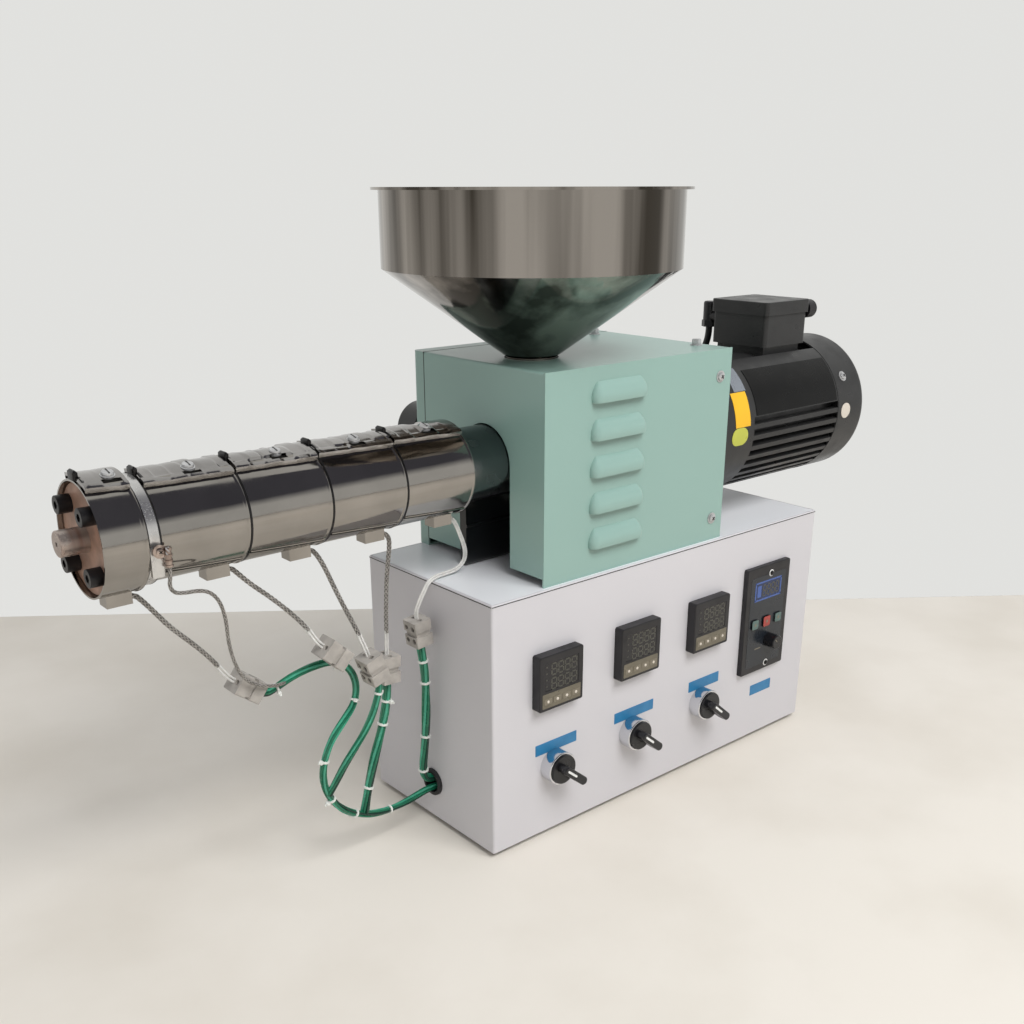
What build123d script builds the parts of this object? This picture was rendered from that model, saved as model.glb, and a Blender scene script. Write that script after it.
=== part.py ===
from build123d import *
import math
import os

# Mini plastic extruder. Millimetres. The origin is the centre of the underside of the cabinet's
# base. +X points from the die towards the motor, the control panel faces -Y and +Z is up.

os.makedirs("parts", exist_ok=True)

# Sheet metal and fits
sheet = 1.5
fold_radius = 2.0
edge_round = 1.0
seam_gap = 0.5
seat_gap = 0.2
turning_gap = 0.3
spindle_clearance = 0.05

# Control cabinet
cabinet_length = 410.0
cabinet_depth = 166.0
cabinet_height = 218.0
base_height = 4.5
base_inset = 6.0
ledge_width = 8.0

# Temperature controllers
controller_size = 48.0
controller_bezel = 9.0
controller_case = 44.6
controller_case_depth = 60.0
controller_pitch = 93.0
controller_height = 146.5
controller_middle_x = -46.7
screen_recess = 0.8
screen_width = 37.0
screen_height = 24.0
screen_rise = 5.5
key_width = 7.6
key_height = 4.4
key_rise = 0.6
key_pitch = 10.2
key_drop = 15.5

# Selector switches
switch_height = 65.5
collar_radius = 14.5
collar_depth = 12.0
collar_recess = 4.0
disc_radius = 12.7
disc_proud = 2.0
shank_radius = 11.0
shank_length = 24.0
contact_block_size = 30.0
contact_block_depth = 34.0
switch_spindle_radius = 6.0
switch_spindle_length = 26.0
lever_width = 7.4
lever_tip = 22.0
lever_tail = 9.0
lever_proud = 9.5
lever_angle = -40.0

# Speed controller
speed_x = 132.0
speed_height = 129.5
speed_width = 64.0
speed_tall = 108.0
speed_plate = 5.0
speed_case_width = 56.0
speed_case_tall = 98.0
speed_case_depth = 55.0
display_width = 36.0
display_tall = 24.0
display_rise = 31.0
display_recess = 0.8
button_rise = -3.0
button_size = 9.4
middle_button_size = 10.4
button_round = 1.6
button_proud = 1.6
button_spread = 17.5
knob_offset_x = 5.5
knob_drop = -23.5
knob_radius = 7.0
knob_proud = 12.0
knob_spindle_radius = 3.0
knob_spindle_length = 10.0

# Mint housing over the drive
housing_left = -149.0
housing_right = 65.0
housing_front = -79.0
housing_back = 72.0
housing_top = 390.0
end_panel_lift = 7.0
flange_width = 12.0
back_tray_depth = 15.0
back_tray_round = 5.0
arch_half_width = 30.5
louvre_count = 5
louvre_left = -100.5
louvre_right = -42.0
louvre_top = 378.4
louvre_pitch = 29.3
louvre_drop = 16.0
louvre_proud = 6.0
louvre_bow = 15.0
rear_cap_x = -128.0
rear_cap_z = 319.5
rear_cap_radius = 23.0
rear_cap_depth = 25.0

# Barrel, die and screw line
axis_y = -8.0
axis_z = 312.0
barrel_radius = 29.5
barrel_bore = 10.0
die_front = -472.0
die_recess = 3.5
die_radius = 37.0
die_length = 25.0
die_channel = 4.0
nozzle_radius = 8.65
nozzle_length = 18.0
nozzle_spigot_radius = 6.0
nozzle_spigot_length = 12.0
nozzle_bore = 1.5
bolt_circle_radius = 27.5
bolt_head_radius = 6.1
bolt_head_length = 9.0
bolt_shank_radius = 4.0
bolt_shank_length = 20.0
bolt_socket_radius = 2.9
bolt_socket_depth = 5.0
die_bolt_count = 4

# Band heaters
end_band_radius = 38.4
band_radius = 35.0
strap_width = 8.2
strap_radius = 36.4
band_length = 62.4
band_seam = 0.6
long_band_count = 4
lap_thickness = 2.4
lap_start = -14.0
lap_sweep = 42.0
lap_margin = 3.0
lap_bead = 0.9
lap_bead_sweep = 5.0
lap_window_width = 12.0
lap_window_sweep = 6.0
band_bolt_angle = 14.0
band_bolt_share = 0.555
end_band_bolt_share = 0.667
band_bolt_radius = 3.6
band_bolt_height = 3.2
ear_width = 2.4
ear_sweep = 12.0
ear_rise = 5.6
terminal_width = 17.0
terminal_depth = 12.0
terminal_low = 5.5
terminal_offset = 46.0
end_terminal_offset = 14.5
terminal_forward = 8.0
lead_drop = 2.0

# Thermocouple on the narrow strap
tab_thickness = 1.6
tab_top = 309.0
tab_bottom = 289.5
probe_head_radius = 3.9
probe_head_depth = 2.0
probe_head_x = -441.6
probe_head_z = 307.0
probe_sleeve_radius = 2.2
probe_sleeve_length = 11.0
probe_sleeve_offset = 5.1

# Barrel support and drive
support_reach = 12.0
support_inside = 20.0
support_front = 3.0
support_thickness = 8.0
support_rib_z = 256.0
support_rib_height = 3.0
support_rib_proud = 1.2
support_heel_round = 5.0
gearbox_left = -40.0
gearbox_right = 62.0
gearbox_half_width = 42.0
gearbox_rise = 50.0
gearbox_round = 6.0

# Hopper and feed throat
hopper_x = -100.0
hopper_rim_radius = 123.0
hopper_radius = 117.4
hopper_rim_thickness = 2.0
hopper_top = 517.5
cone_top = 459.0
cone_bottom = 391.0
neck_radius = 21.0
neck_bottom = 372.0
neck_clearance = 1.0
throat_size = 56.0
throat_low = 322.0
feed_slot_length = 30.0

# Motor
motor_radius = 66.0
drum_end = 110.5
fan_cover_start = 239.5
fan_cover_end = 284.7
fan_cover_radius = 66.3
fan_cover_round = 7.0
motor_gap = 1.0
spigot_radius = 40.0
motor_core_radius = 57.0
fin_thickness = 4.4
fin_count = 27
fin_first_angle = 87.5
fin_pitch = 8.8
plate_pad_start = 28.0
plate_pad_end = 80.0
grille_slots = 12
grille_inner = 18.0
grille_outer = 50.0
grille_slot_width = 5.0

# Motor terminal box
box_left = 165.0
box_right = 231.0
box_front = -37.0
box_back = 30.0
box_bottom = 376.0
box_pad_inset = 6.0
lid_bottom = 405.0
lid_top = 417.0
lid_overhang = 1.6
box_round = 4.0
plug_radius = 8.5
plug_length = 12.0
plug_y = -29.0
plug_z = 407.0
gland_radius = 6.4
gland_boss_radius = 5.0
gland_x = 176.0
gland_y = 40.0
gland_boss_z = 399.0
gland_top = 413.0
gland_bottom = 389.0
gland_nut_radius = 7.6
gland_nut_height = 6.0

# Wiring
lead_diameter = 3.6
probe_lead_diameter = 2.6
bundle_a_diameter = 6.5
bundle_c_diameter = 6.0
bundle_d_diameter = 8.0
bundle_e_diameter = 8.0
motor_cable_diameter = 6.5
ceramic_length = 22.0
ceramic_width = 17.0
ceramic_height = 16.0
grommet_radius = 12.0
grommet_flange = 3.0
grommet_bore = 9.0
grommet_wire_gap = 0.8
grommet_y = -2.2
grommet_z = 38.2
cable_grommet_x = 170.0
cable_grommet_y = 68.0
cable_grommet_wall = 2.0
ceramic_bore_radius = 1.9
ceramic_bore_depth = 5.0
ceramic_well_radius = 2.2
ceramic_well_depth = 4.0
ceramic_well_spread = 5.5
ceramic_wire_spread = 4.2
ceramic_waist = 1.5
ceramic_waist_length = 4.0
wire_entry = 8.0

# Places that follow from the sizes above
cabinet_top = base_height + cabinet_height
cabinet_left = -cabinet_length / 2
cabinet_right = cabinet_length / 2
cabinet_front = -cabinet_depth / 2
cabinet_back = cabinet_depth / 2
controller_xs = [controller_middle_x + controller_pitch * step for step in (-1, 0, 1)]
die_back = die_front + die_length
end_band_start = die_front - die_recess
end_band_length = die_length + die_recess
strap_left = die_back + seat_gap
first_long_band = strap_left + strap_width + seat_gap
band_pitch = band_length + band_seam
drum_start = housing_right + motor_gap
support_left = housing_left - support_reach
support_right = gearbox_left - support_inside


def block(x_low, x_high, y_low, y_high, z_low, z_high):
    centre = ((x_low + x_high) / 2, (y_low + y_high) / 2, (z_low + z_high) / 2)
    return Pos(*centre) * Box(x_high - x_low, y_high - y_low, z_high - z_low)


def bar_x(x_low, x_high, radius, y=axis_y, z=axis_z):
    along = (Align.CENTER, Align.CENTER, Align.MIN)
    return Pos(x_low, y, z) * Rot(0, 90, 0) * Cylinder(radius, x_high - x_low, align=along)


def bar_y(y_low, y_high, radius, x, z):
    along = (Align.CENTER, Align.CENTER, Align.MIN)
    return Pos(x, y_low, z) * Rot(-90, 0, 0) * Cylinder(radius, y_high - y_low, align=along)


def bar_z(z_low, z_high, radius, x, y):
    along = (Align.CENTER, Align.CENTER, Align.MIN)
    return Pos(x, y, z_low) * Cylinder(radius, z_high - z_low, align=along)


def upright_edges(solid):
    return solid.edges().filter_by(Axis.Z)


def save(name, shape):
    shape.label = name
    export_step(shape, f"parts/{name}.step")


# Control cabinet
def make_base_plate():
    return block(cabinet_left + base_inset, cabinet_right - base_inset,
                 cabinet_front + base_inset, cabinet_back - base_inset, 0, base_height)


def make_cabinet_shell():
    outer = block(cabinet_left, cabinet_right, cabinet_front, cabinet_back, base_height, cabinet_top)
    outer = fillet(upright_edges(outer), fold_radius)
    outer = fillet(outer.faces().sort_by(Axis.Z)[-1].edges(), edge_round)
    plate_seat = cabinet_top - sheet
    inside = block(cabinet_left + sheet, cabinet_right - sheet,
                   cabinet_front + sheet, cabinet_back - sheet,
                   base_height + sheet, plate_seat - sheet)
    throat = block(cabinet_left + sheet + ledge_width, cabinet_right - sheet - ledge_width,
                   cabinet_front + sheet + ledge_width, cabinet_back - sheet - ledge_width,
                   plate_seat - 2 * sheet, plate_seat + sheet)
    seat = block(cabinet_left + sheet, cabinet_right - sheet,
                 cabinet_front + sheet, cabinet_back - sheet, plate_seat, cabinet_top + sheet)
    shell = outer - inside - throat - seat
    panel_low = cabinet_front - sheet
    panel_high = cabinet_front + 2 * sheet
    half_case = controller_case / 2 + seat_gap
    for x in controller_xs:
        shell -= block(x - half_case, x + half_case, panel_low, panel_high,
                       controller_height - half_case, controller_height + half_case)
        shell -= bar_y(panel_low, panel_high, shank_radius + seat_gap, x, switch_height)
    shell -= block(speed_x - speed_case_width / 2 - seat_gap, speed_x + speed_case_width / 2 + seat_gap,
                   panel_low, panel_high,
                   speed_height - speed_case_tall / 2 - seat_gap,
                   speed_height + speed_case_tall / 2 + seat_gap)
    shell -= bar_x(cabinet_left - sheet, cabinet_left + 2 * sheet, grommet_neck(), grommet_y, grommet_z)
    return shell


def grommet_neck():
    return grommet_bore + (grommet_radius - grommet_bore) / 2


def make_cabinet_top_plate():
    edge = sheet + seam_gap
    plate = block(cabinet_left + edge, cabinet_right - edge, cabinet_front + edge, cabinet_back - edge,
                  cabinet_top - sheet, cabinet_top)
    plate = fillet(upright_edges(plate), edge_round)
    hole_radius = motor_cable_diameter / 2 + cable_grommet_wall
    return plate - bar_z(cabinet_top - 2 * sheet, cabinet_top + sheet, hole_radius,
                         cable_grommet_x, cable_grommet_y)


def make_cable_grommet():
    ring = bar_x(cabinet_left - grommet_flange, cabinet_left, grommet_radius, grommet_y, grommet_z)
    ring = fillet(ring.faces().sort_by(Axis.X)[0].edges(), edge_round)
    ring += bar_x(cabinet_left, cabinet_left + sheet, grommet_neck() - seat_gap / 2, grommet_y, grommet_z)
    ring += bar_x(cabinet_left + sheet, cabinet_left + sheet + grommet_flange, grommet_radius,
                  grommet_y, grommet_z)
    return ring - bar_x(cabinet_left - 2 * grommet_flange, cabinet_left + 3 * grommet_flange,
                        grommet_bore, grommet_y, grommet_z)


def make_temperature_controller(x):
    half = controller_size / 2
    face = cabinet_front - controller_bezel
    bezel = block(x - half, x + half, face, cabinet_front, controller_height - half,
                  controller_height + half)
    bezel = fillet(bezel.edges().filter_by(Axis.Y), fold_radius)
    bezel = fillet(bezel.faces().sort_by(Axis.Y)[0].edges(), edge_round)
    screen_z = controller_height + screen_rise
    bezel -= block(x - screen_width / 2, x + screen_width / 2, face - 1, face + screen_recess,
                   screen_z - screen_height / 2, screen_z + screen_height / 2)
    key_z = controller_height - key_drop
    for step in (-1.5, -0.5, 0.5, 1.5):
        key_x = x + step * key_pitch
        bezel += block(key_x - key_width / 2, key_x + key_width / 2, face - key_rise, face + 1,
                       key_z - key_height / 2, key_z + key_height / 2)
    half_case = controller_case / 2
    case = block(x - half_case, x + half_case, cabinet_front, cabinet_front + controller_case_depth,
                 controller_height - half_case, controller_height + half_case)
    return bezel + case


def make_switch_collar(x):
    rim = cabinet_front - collar_depth
    collar = bar_y(rim, cabinet_front, collar_radius, x, switch_height)
    collar = fillet(collar.faces().sort_by(Axis.Y)[0].edges(), edge_round)
    shank_end = cabinet_front + shank_length
    collar += bar_y(cabinet_front, shank_end, shank_radius, x, switch_height)
    half = contact_block_size / 2
    collar += block(x - half, x + half, shank_end, shank_end + contact_block_depth,
                    switch_height - half, switch_height + half)
    collar -= bar_y(rim - 1, rim + collar_recess, disc_radius + turning_gap, x, switch_height)
    bore_depth = collar_recess + switch_spindle_length + turning_gap
    return collar - bar_y(rim, rim + bore_depth, switch_spindle_radius + spindle_clearance, x,
                          switch_height)


def make_switch_handle(x):
    disc_front = cabinet_front - collar_depth - disc_proud
    disc_back = cabinet_front - collar_depth + collar_recess - turning_gap
    disc = bar_y(disc_front, disc_back, disc_radius, x, switch_height)
    disc = fillet(disc.faces().sort_by(Axis.Y)[0].edges(), edge_round / 2)
    grip = SlotOverall(lever_tip + lever_tail, lever_width)
    lever = extrude(Plane.XZ * Pos((lever_tip - lever_tail) / 2, 0) * grip, lever_proud)
    lever = fillet(lever.faces().sort_by(Axis.Y)[0].edges(), edge_round)
    lever = Pos(x, disc_front, switch_height) * Rot(0, -lever_angle, 0) * lever
    spindle = bar_y(disc_back, disc_back + switch_spindle_length, switch_spindle_radius, x, switch_height)
    return disc + lever + spindle


def make_speed_controller():
    face = cabinet_front - speed_plate
    plate = block(speed_x - speed_width / 2, speed_x + speed_width / 2, face, cabinet_front,
                  speed_height - speed_tall / 2, speed_height + speed_tall / 2)
    plate = fillet(plate.edges().filter_by(Axis.Y), fold_radius)
    plate = fillet(plate.faces().sort_by(Axis.Y)[0].edges(), edge_round)
    screen_z = speed_height + display_rise
    plate -= block(speed_x - display_width / 2, speed_x + display_width / 2, face - 1,
                   face + display_recess, screen_z - display_tall / 2, screen_z + display_tall / 2)
    for side in (-1, 0, 1):
        half = (button_size if side else middle_button_size) / 2
        button_x = speed_x + side * button_spread
        button_z = speed_height + button_rise
        button = block(button_x - half, button_x + half, face - button_proud, face + 1,
                       button_z - half, button_z + half)
        plate += fillet(button.edges().filter_by(Axis.Y), button_round)
    case = block(speed_x - speed_case_width / 2, speed_x + speed_case_width / 2,
                 cabinet_front, cabinet_front + speed_case_depth,
                 speed_height - speed_case_tall / 2, speed_height + speed_case_tall / 2)
    bore_end = face + knob_spindle_length + turning_gap
    return plate + case - bar_y(face - 1, bore_end, knob_spindle_radius + spindle_clearance,
                                speed_x + knob_offset_x, speed_height + knob_drop)


def make_speed_knob():
    x = speed_x + knob_offset_x
    z = speed_height + knob_drop
    back = cabinet_front - speed_plate - turning_gap
    knob = bar_y(back - knob_proud, back, knob_radius, x, z)
    knob = fillet(knob.faces().sort_by(Axis.Y)[0].edges(), edge_round)
    return knob + bar_y(back, back + knob_spindle_length, knob_spindle_radius, x, z)


# Mint housing
def make_housing_cover():
    low = cabinet_top + end_panel_lift
    front = housing_front + sheet
    outer = block(housing_left, housing_right, front, housing_back, low, housing_top)
    outer = fillet([edge for edge in outer.edges().filter_by(Axis.Y)
                    if edge.center().Z > housing_top - 1], fold_radius)
    inside = block(housing_left + sheet, housing_right - sheet, front + sheet, housing_back - sheet,
                   low - 1, housing_top - sheet)
    opening = block(housing_left + flange_width, housing_right - flange_width, front - 1,
                    housing_back + 1, low - 1, housing_top - flange_width)
    cover = outer - inside - opening
    arch = bar_x(housing_left - 1, housing_left + sheet + 1, arch_half_width)
    arch += block(housing_left - 1, housing_left + sheet + 1, axis_y - arch_half_width,
                  axis_y + arch_half_width, low - 1, axis_z)
    cover -= arch
    cover -= bar_x(housing_right - 2 * sheet, housing_right + sheet, spigot_radius + neck_clearance)
    return cover - bar_z(housing_top - 2 * sheet, housing_top + sheet, neck_radius + neck_clearance,
                         hopper_x, axis_y)


def louvre_hood(inset):
    # A quarter-round hood, rounded at both ends and open at its lower lip
    top = 0.0
    lip = -louvre_drop
    proud = louvre_proud - inset
    left = louvre_left + louvre_proud
    right = louvre_right - louvre_proud
    with BuildSketch(Plane.YZ) as section:
        with BuildLine():
            bow = RadiusArc((0, top - inset), (-proud, lip), -louvre_bow)
            Line(bow @ 1, (0, lip))
            Line((0, lip), bow @ 0)
        make_face()
    profile = section.sketch
    hood = Pos(left, 0, 0) * extrude(profile, right - left)
    for x in (left, right):
        end = revolve(profile, Axis.Z, 360)
        hood += Pos(x, 0, 0) * end
    return hood


def make_front_cover():
    back = housing_front + sheet
    cover = block(housing_left, housing_right, housing_front, back, cabinet_top, housing_top)
    behind = block(louvre_left - 1, louvre_right + 1, back, back + 4 * louvre_proud,
                   cabinet_top, housing_top)
    hood = louvre_hood(0)
    hollow = louvre_hood(sheet)
    half_box = block(louvre_left, louvre_right, housing_front - 2 * louvre_proud, back,
                     -2 * louvre_drop, louvre_drop)
    for step in range(louvre_count):
        z = louvre_top - step * louvre_pitch
        cover += Pos(0, housing_front, z) * hood - behind
        cover -= (Pos(0, housing_front, z) * hollow) & (Pos(0, 0, z) * half_box)
    return cover


def make_back_cover():
    tray = block(housing_left, housing_right, housing_back, housing_back + back_tray_depth,
                 cabinet_top, housing_top)
    rear = tray.faces().sort_by(Axis.Y)[-1]
    tray = fillet(rear.edges().filter_by(Axis.Z), back_tray_round)
    inside = block(housing_left + sheet, housing_right - sheet, housing_back - 1,
                   housing_back + back_tray_depth - sheet, cabinet_top + sheet, housing_top - sheet)
    inside = fillet(inside.faces().sort_by(Axis.Y)[-1].edges().filter_by(Axis.Z),
                    back_tray_round - sheet)
    return tray - inside


def make_rear_cap():
    start = housing_back + back_tray_depth
    cap = bar_y(start, start + rear_cap_depth, rear_cap_radius, rear_cap_x, rear_cap_z)
    return fillet(cap.faces().sort_by(Axis.Y)[-1].edges(), fold_radius)


# Hopper, barrel and die
def make_hopper():
    run = hopper_radius - neck_radius
    rise = cone_top - cone_bottom
    lift = sheet * math.hypot(run, rise) / run
    slope = rise / run
    inner_neck = neck_radius - sheet
    inner_wall = hopper_radius - sheet
    outline = [
        (inner_neck, neck_bottom),
        (neck_radius, neck_bottom),
        (neck_radius, cone_bottom),
        (hopper_radius, cone_top),
        (hopper_radius, hopper_top - hopper_rim_thickness),
        (hopper_rim_radius, hopper_top - hopper_rim_thickness),
        (hopper_rim_radius, hopper_top),
        (inner_wall, hopper_top),
        (inner_wall, cone_top + lift - sheet * slope),
        (inner_neck, cone_bottom + lift - sheet * slope),
    ]
    profile = make_face(Plane.XZ * Polyline(*outline, close=True))
    return Pos(hopper_x, axis_y, 0) * revolve(profile, Axis.Z, 360)


def make_feed_throat():
    half = throat_size / 2
    throat = block(hopper_x - half, hopper_x + half, axis_y - half, axis_y + half, throat_low,
                   neck_bottom)
    throat = fillet(upright_edges(throat), fold_radius)
    throat -= bar_x(hopper_x - throat_size, hopper_x + throat_size, barrel_radius + seat_gap)
    return throat - bar_z(throat_low - 1, neck_bottom + 1, neck_radius - sheet, hopper_x, axis_y)


def make_barrel():
    barrel = bar_x(die_back, gearbox_left, barrel_radius)
    barrel -= bar_x(die_back - 1, gearbox_left + 1, barrel_bore)
    slot = extrude(Pos(hopper_x, axis_y, axis_z) * SlotOverall(feed_slot_length, 2 * barrel_bore - 1),
                   2 * barrel_radius)
    return barrel - slot


def bolt_places():
    quarter = 360 / die_bolt_count
    for step in range(die_bolt_count):
        angle = math.radians(quarter / 2 + step * quarter)
        yield (axis_y + bolt_circle_radius * math.cos(angle),
               axis_z + bolt_circle_radius * math.sin(angle))


def make_die_head():
    head = bar_x(die_front, die_back, die_radius)
    head = chamfer(head.faces().sort_by(Axis.X)[0].edges(), edge_round)
    head -= bar_x(die_front - 1, die_back + 1, die_channel)
    head -= bar_x(die_front - 1, die_front + nozzle_spigot_length + seat_gap,
                  nozzle_spigot_radius + spindle_clearance)
    for y, z in bolt_places():
        head -= bar_x(die_front - 1, die_front + bolt_shank_length + seat_gap,
                      bolt_shank_radius + spindle_clearance, y, z)
    return head


def make_nozzle():
    nozzle = bar_x(die_front - nozzle_length, die_front, nozzle_radius)
    nozzle = fillet(nozzle.faces().sort_by(Axis.X)[0].edges(), edge_round)
    nozzle += bar_x(die_front, die_front + nozzle_spigot_length, nozzle_spigot_radius)
    return nozzle - bar_x(die_front - 2 * nozzle_length, die_front + 2 * nozzle_length, nozzle_bore)


def make_die_bolts():
    bolts = []
    for y, z in bolt_places():
        bolt = bar_x(die_front - bolt_head_length, die_front, bolt_head_radius, y, z)
        bolt = fillet(bolt.faces().sort_by(Axis.X)[0].edges(), edge_round / 2)
        bolt += bar_x(die_front, die_front + bolt_shank_length, bolt_shank_radius, y, z)
        key = Plane.YZ * RegularPolygon(bolt_socket_radius, 6)
        bolt -= Pos(die_front - bolt_head_length - 1, y, z) * extrude(key, bolt_socket_depth + 1)
        bolts.append(bolt)
    return Compound(children=bolts)


def ring_sector(x_low, x_high, inner, outer, start, sweep_angle):
    # Part of a ring about the barrel; angles run from straight up towards the front
    half_plane = Plane.XZ * Pos((x_low + x_high) / 2, (inner + outer) / 2) * Rectangle(
        x_high - x_low, outer - inner)
    sector = revolve(half_plane, Axis.X, sweep_angle)
    return Pos(0, axis_y, axis_z) * Rot(start, 0, 0) * sector


def make_band_heater(x_low, length, inner, outer, bolt_share, terminal_at):
    x_high = x_low + length
    band = bar_x(x_low, x_high, outer) - bar_x(x_low - 1, x_high + 1, inner + seat_gap)
    lap_top = outer + lap_thickness
    lap = ring_sector(x_low + lap_margin, x_high - lap_margin, outer - seat_gap, lap_top,
                      lap_start, lap_sweep)
    lap += ring_sector(x_low + lap_margin, x_high - lap_margin, outer - seat_gap, lap_top + lap_bead,
                       lap_start + lap_sweep - lap_bead_sweep, lap_bead_sweep)
    bolt_x = x_low + length * bolt_share
    lap -= ring_sector(bolt_x - lap_window_width / 2, bolt_x + lap_window_width / 2, outer, 2 * outer,
                       band_bolt_angle + lap_window_sweep, lap_window_sweep)
    bolt = bar_z(outer, lap_top + band_bolt_height, band_bolt_radius, bolt_x, 0)
    bolt = fillet(bolt.faces().sort_by(Axis.Z)[-1].edges(), edge_round)
    ear = ring_sector(x_low, x_low + ear_width, outer - seat_gap, outer + ear_rise,
                      -ear_sweep / 2, ear_sweep)
    band += lap
    band += Pos(0, axis_y, axis_z) * Rot(band_bolt_angle, 0, 0) * bolt
    band += ear
    terminal_x = x_low + terminal_at
    terminal_y = axis_y - terminal_forward
    box = block(terminal_x - terminal_width / 2, terminal_x + terminal_width / 2,
                terminal_y - terminal_depth / 2, terminal_y + terminal_depth / 2,
                axis_z - outer - terminal_low, axis_z)
    band += box - bar_x(x_low - 1, x_high + 1, inner + seat_gap)
    return band


def terminal_exit(x_low, outer, terminal_at):
    # Where a lead leaves the side of its terminal box
    return (x_low + terminal_at + terminal_width / 2, axis_y - terminal_forward,
            axis_z - outer - lead_drop)


def make_thermocouple_strap():
    strap = bar_x(strap_left, strap_left + strap_width, strap_radius)
    strap -= bar_x(strap_left - 1, strap_left + strap_width + 1, barrel_radius + seat_gap)
    face = axis_y - strap_radius
    tab = block(strap_left, strap_left + strap_width, face - tab_thickness, face + tab_thickness,
                tab_bottom, tab_top)
    tab = fillet(tab.edges().filter_by(Axis.Y), edge_round)
    return strap + (tab - bar_x(strap_left - 1, strap_left + strap_width + 1, barrel_radius + seat_gap))


def probe_sleeve_end():
    # The lower end of the crimp sleeve that hangs beside the ring terminal
    return (probe_head_x + probe_sleeve_offset,
            axis_y - strap_radius - tab_thickness - probe_sleeve_radius,
            probe_head_z - probe_sleeve_length)


def make_thermocouple():
    x, y, low = probe_sleeve_end()
    face = axis_y - strap_radius - tab_thickness
    head = bar_y(face - probe_head_depth, face, probe_head_radius, probe_head_x, probe_head_z)
    lug = block(probe_head_x, x, face - probe_head_depth, face,
                probe_head_z - probe_sleeve_radius, probe_head_z + probe_sleeve_radius)
    return head + lug + bar_z(low, probe_head_z + probe_sleeve_radius, probe_sleeve_radius, x, y)


# Support and drive
def make_barrel_support():
    # An upright plate with a pressed rib, rounded where it meets the cabinet and cut to the barrel
    back = support_front + support_thickness
    plate = block(support_left, support_right, support_front, back, cabinet_top, axis_z)
    front_edges = plate.edges().filter_by(Axis.X).group_by(Axis.Z)[0].sort_by(Axis.Y)
    plate = fillet(front_edges[0], support_heel_round)
    rib = block(support_left, support_right, support_front - support_rib_proud, back,
                support_rib_z, support_rib_z + support_rib_height)
    rib = fillet(rib.edges().filter_by(Axis.X), edge_round)
    return plate + rib - bar_x(support_left - 1, support_right + 1, barrel_radius + seat_gap)


def make_gearbox():
    box = block(gearbox_left, gearbox_right, axis_y - gearbox_half_width, axis_y + gearbox_half_width,
                cabinet_top, axis_z + gearbox_rise)
    return fillet(box.edges().filter_by(Axis.X), gearbox_round)


def make_motor_body():
    body = bar_x(drum_start, drum_end, motor_radius)
    body = fillet(body.faces().sort_by(Axis.X)[0].edges(), edge_round)
    body += bar_x(gearbox_right, drum_start, spigot_radius)
    body += bar_x(drum_end, fan_cover_start, motor_core_radius)
    body += ring_sector(drum_end, fan_cover_start, motor_core_radius - 1, motor_radius,
                        plate_pad_start, plate_pad_end - plate_pad_start)
    fin = block(drum_end, fan_cover_start, -fin_thickness / 2, fin_thickness / 2,
                motor_core_radius - 1, motor_radius)
    for step in range(fin_count):
        angle = fin_first_angle + fin_pitch * step
        body += Pos(0, axis_y, axis_z) * Rot(angle, 0, 0) * fin
    pad = block(box_left + box_pad_inset, box_right - box_pad_inset, box_front + box_pad_inset,
                box_back - box_pad_inset, axis_z + motor_core_radius / 2, box_bottom)
    return body + pad


def make_motor_fan_cover():
    cover = bar_x(fan_cover_start, fan_cover_end, fan_cover_radius)
    cover = fillet(cover.faces().sort_by(Axis.X)[-1].edges(), fan_cover_round)
    inside = bar_x(fan_cover_start - 1, fan_cover_end - sheet, fan_cover_radius - sheet)
    inside = fillet(inside.faces().sort_by(Axis.X)[-1].edges(), fan_cover_round - sheet)
    cover -= inside
    slot = block(fan_cover_end - 2 * sheet, fan_cover_end + 1, -grille_slot_width / 2,
                 grille_slot_width / 2, grille_inner, grille_outer)
    for step in range(grille_slots):
        cover -= Pos(0, axis_y, axis_z) * Rot(360 / grille_slots * step, 0, 0) * slot
    return cover


def make_terminal_box():
    box = block(box_left + lid_overhang, box_right - lid_overhang, box_front + lid_overhang,
                box_back - lid_overhang, box_bottom, lid_bottom)
    return fillet(upright_edges(box), box_round)


def make_terminal_box_lid():
    lid = block(box_left, box_right, box_front, box_back, lid_bottom, lid_top)
    lid = fillet(upright_edges(lid), box_round)
    return fillet(lid.faces().sort_by(Axis.Z)[-1].edges(), edge_round)


def make_blanking_plug():
    plug = bar_x(box_right, box_right + plug_length, plug_radius, plug_y, plug_z)
    return fillet(plug.faces().sort_by(Axis.X)[-1].edges(), fold_radius)


def make_motor_cable_gland():
    # An elbow on the back of the box that turns the cable straight down
    boss = bar_y(box_back - lid_overhang, gland_y, gland_boss_radius, gland_x, gland_boss_z)
    elbow = bar_z(gland_bottom, gland_top, gland_radius, gland_x, gland_y)
    elbow = fillet(elbow.faces().sort_by(Axis.Z)[-1].edges(), fold_radius)
    nut = extrude(Pos(gland_x, gland_y, gland_bottom) * RegularPolygon(gland_nut_radius, 6),
                  gland_nut_height)
    return elbow + boss + nut


def make_motor_cable_grommet():
    radius = motor_cable_diameter / 2
    neck = radius + cable_grommet_wall - seat_gap / 2
    flange = radius + 2 * cable_grommet_wall
    ring = bar_z(cabinet_top, cabinet_top + 2 * sheet, flange, cable_grommet_x, cable_grommet_y)
    ring = fillet(ring.faces().sort_by(Axis.Z)[-1].edges(), edge_round)
    ring += bar_z(cabinet_top - sheet, cabinet_top, neck, cable_grommet_x, cable_grommet_y)
    return ring - bar_z(cabinet_top - 2 * sheet, cabinet_top + 3 * sheet, radius + seat_gap / 2,
                        cable_grommet_x, cable_grommet_y)


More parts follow.
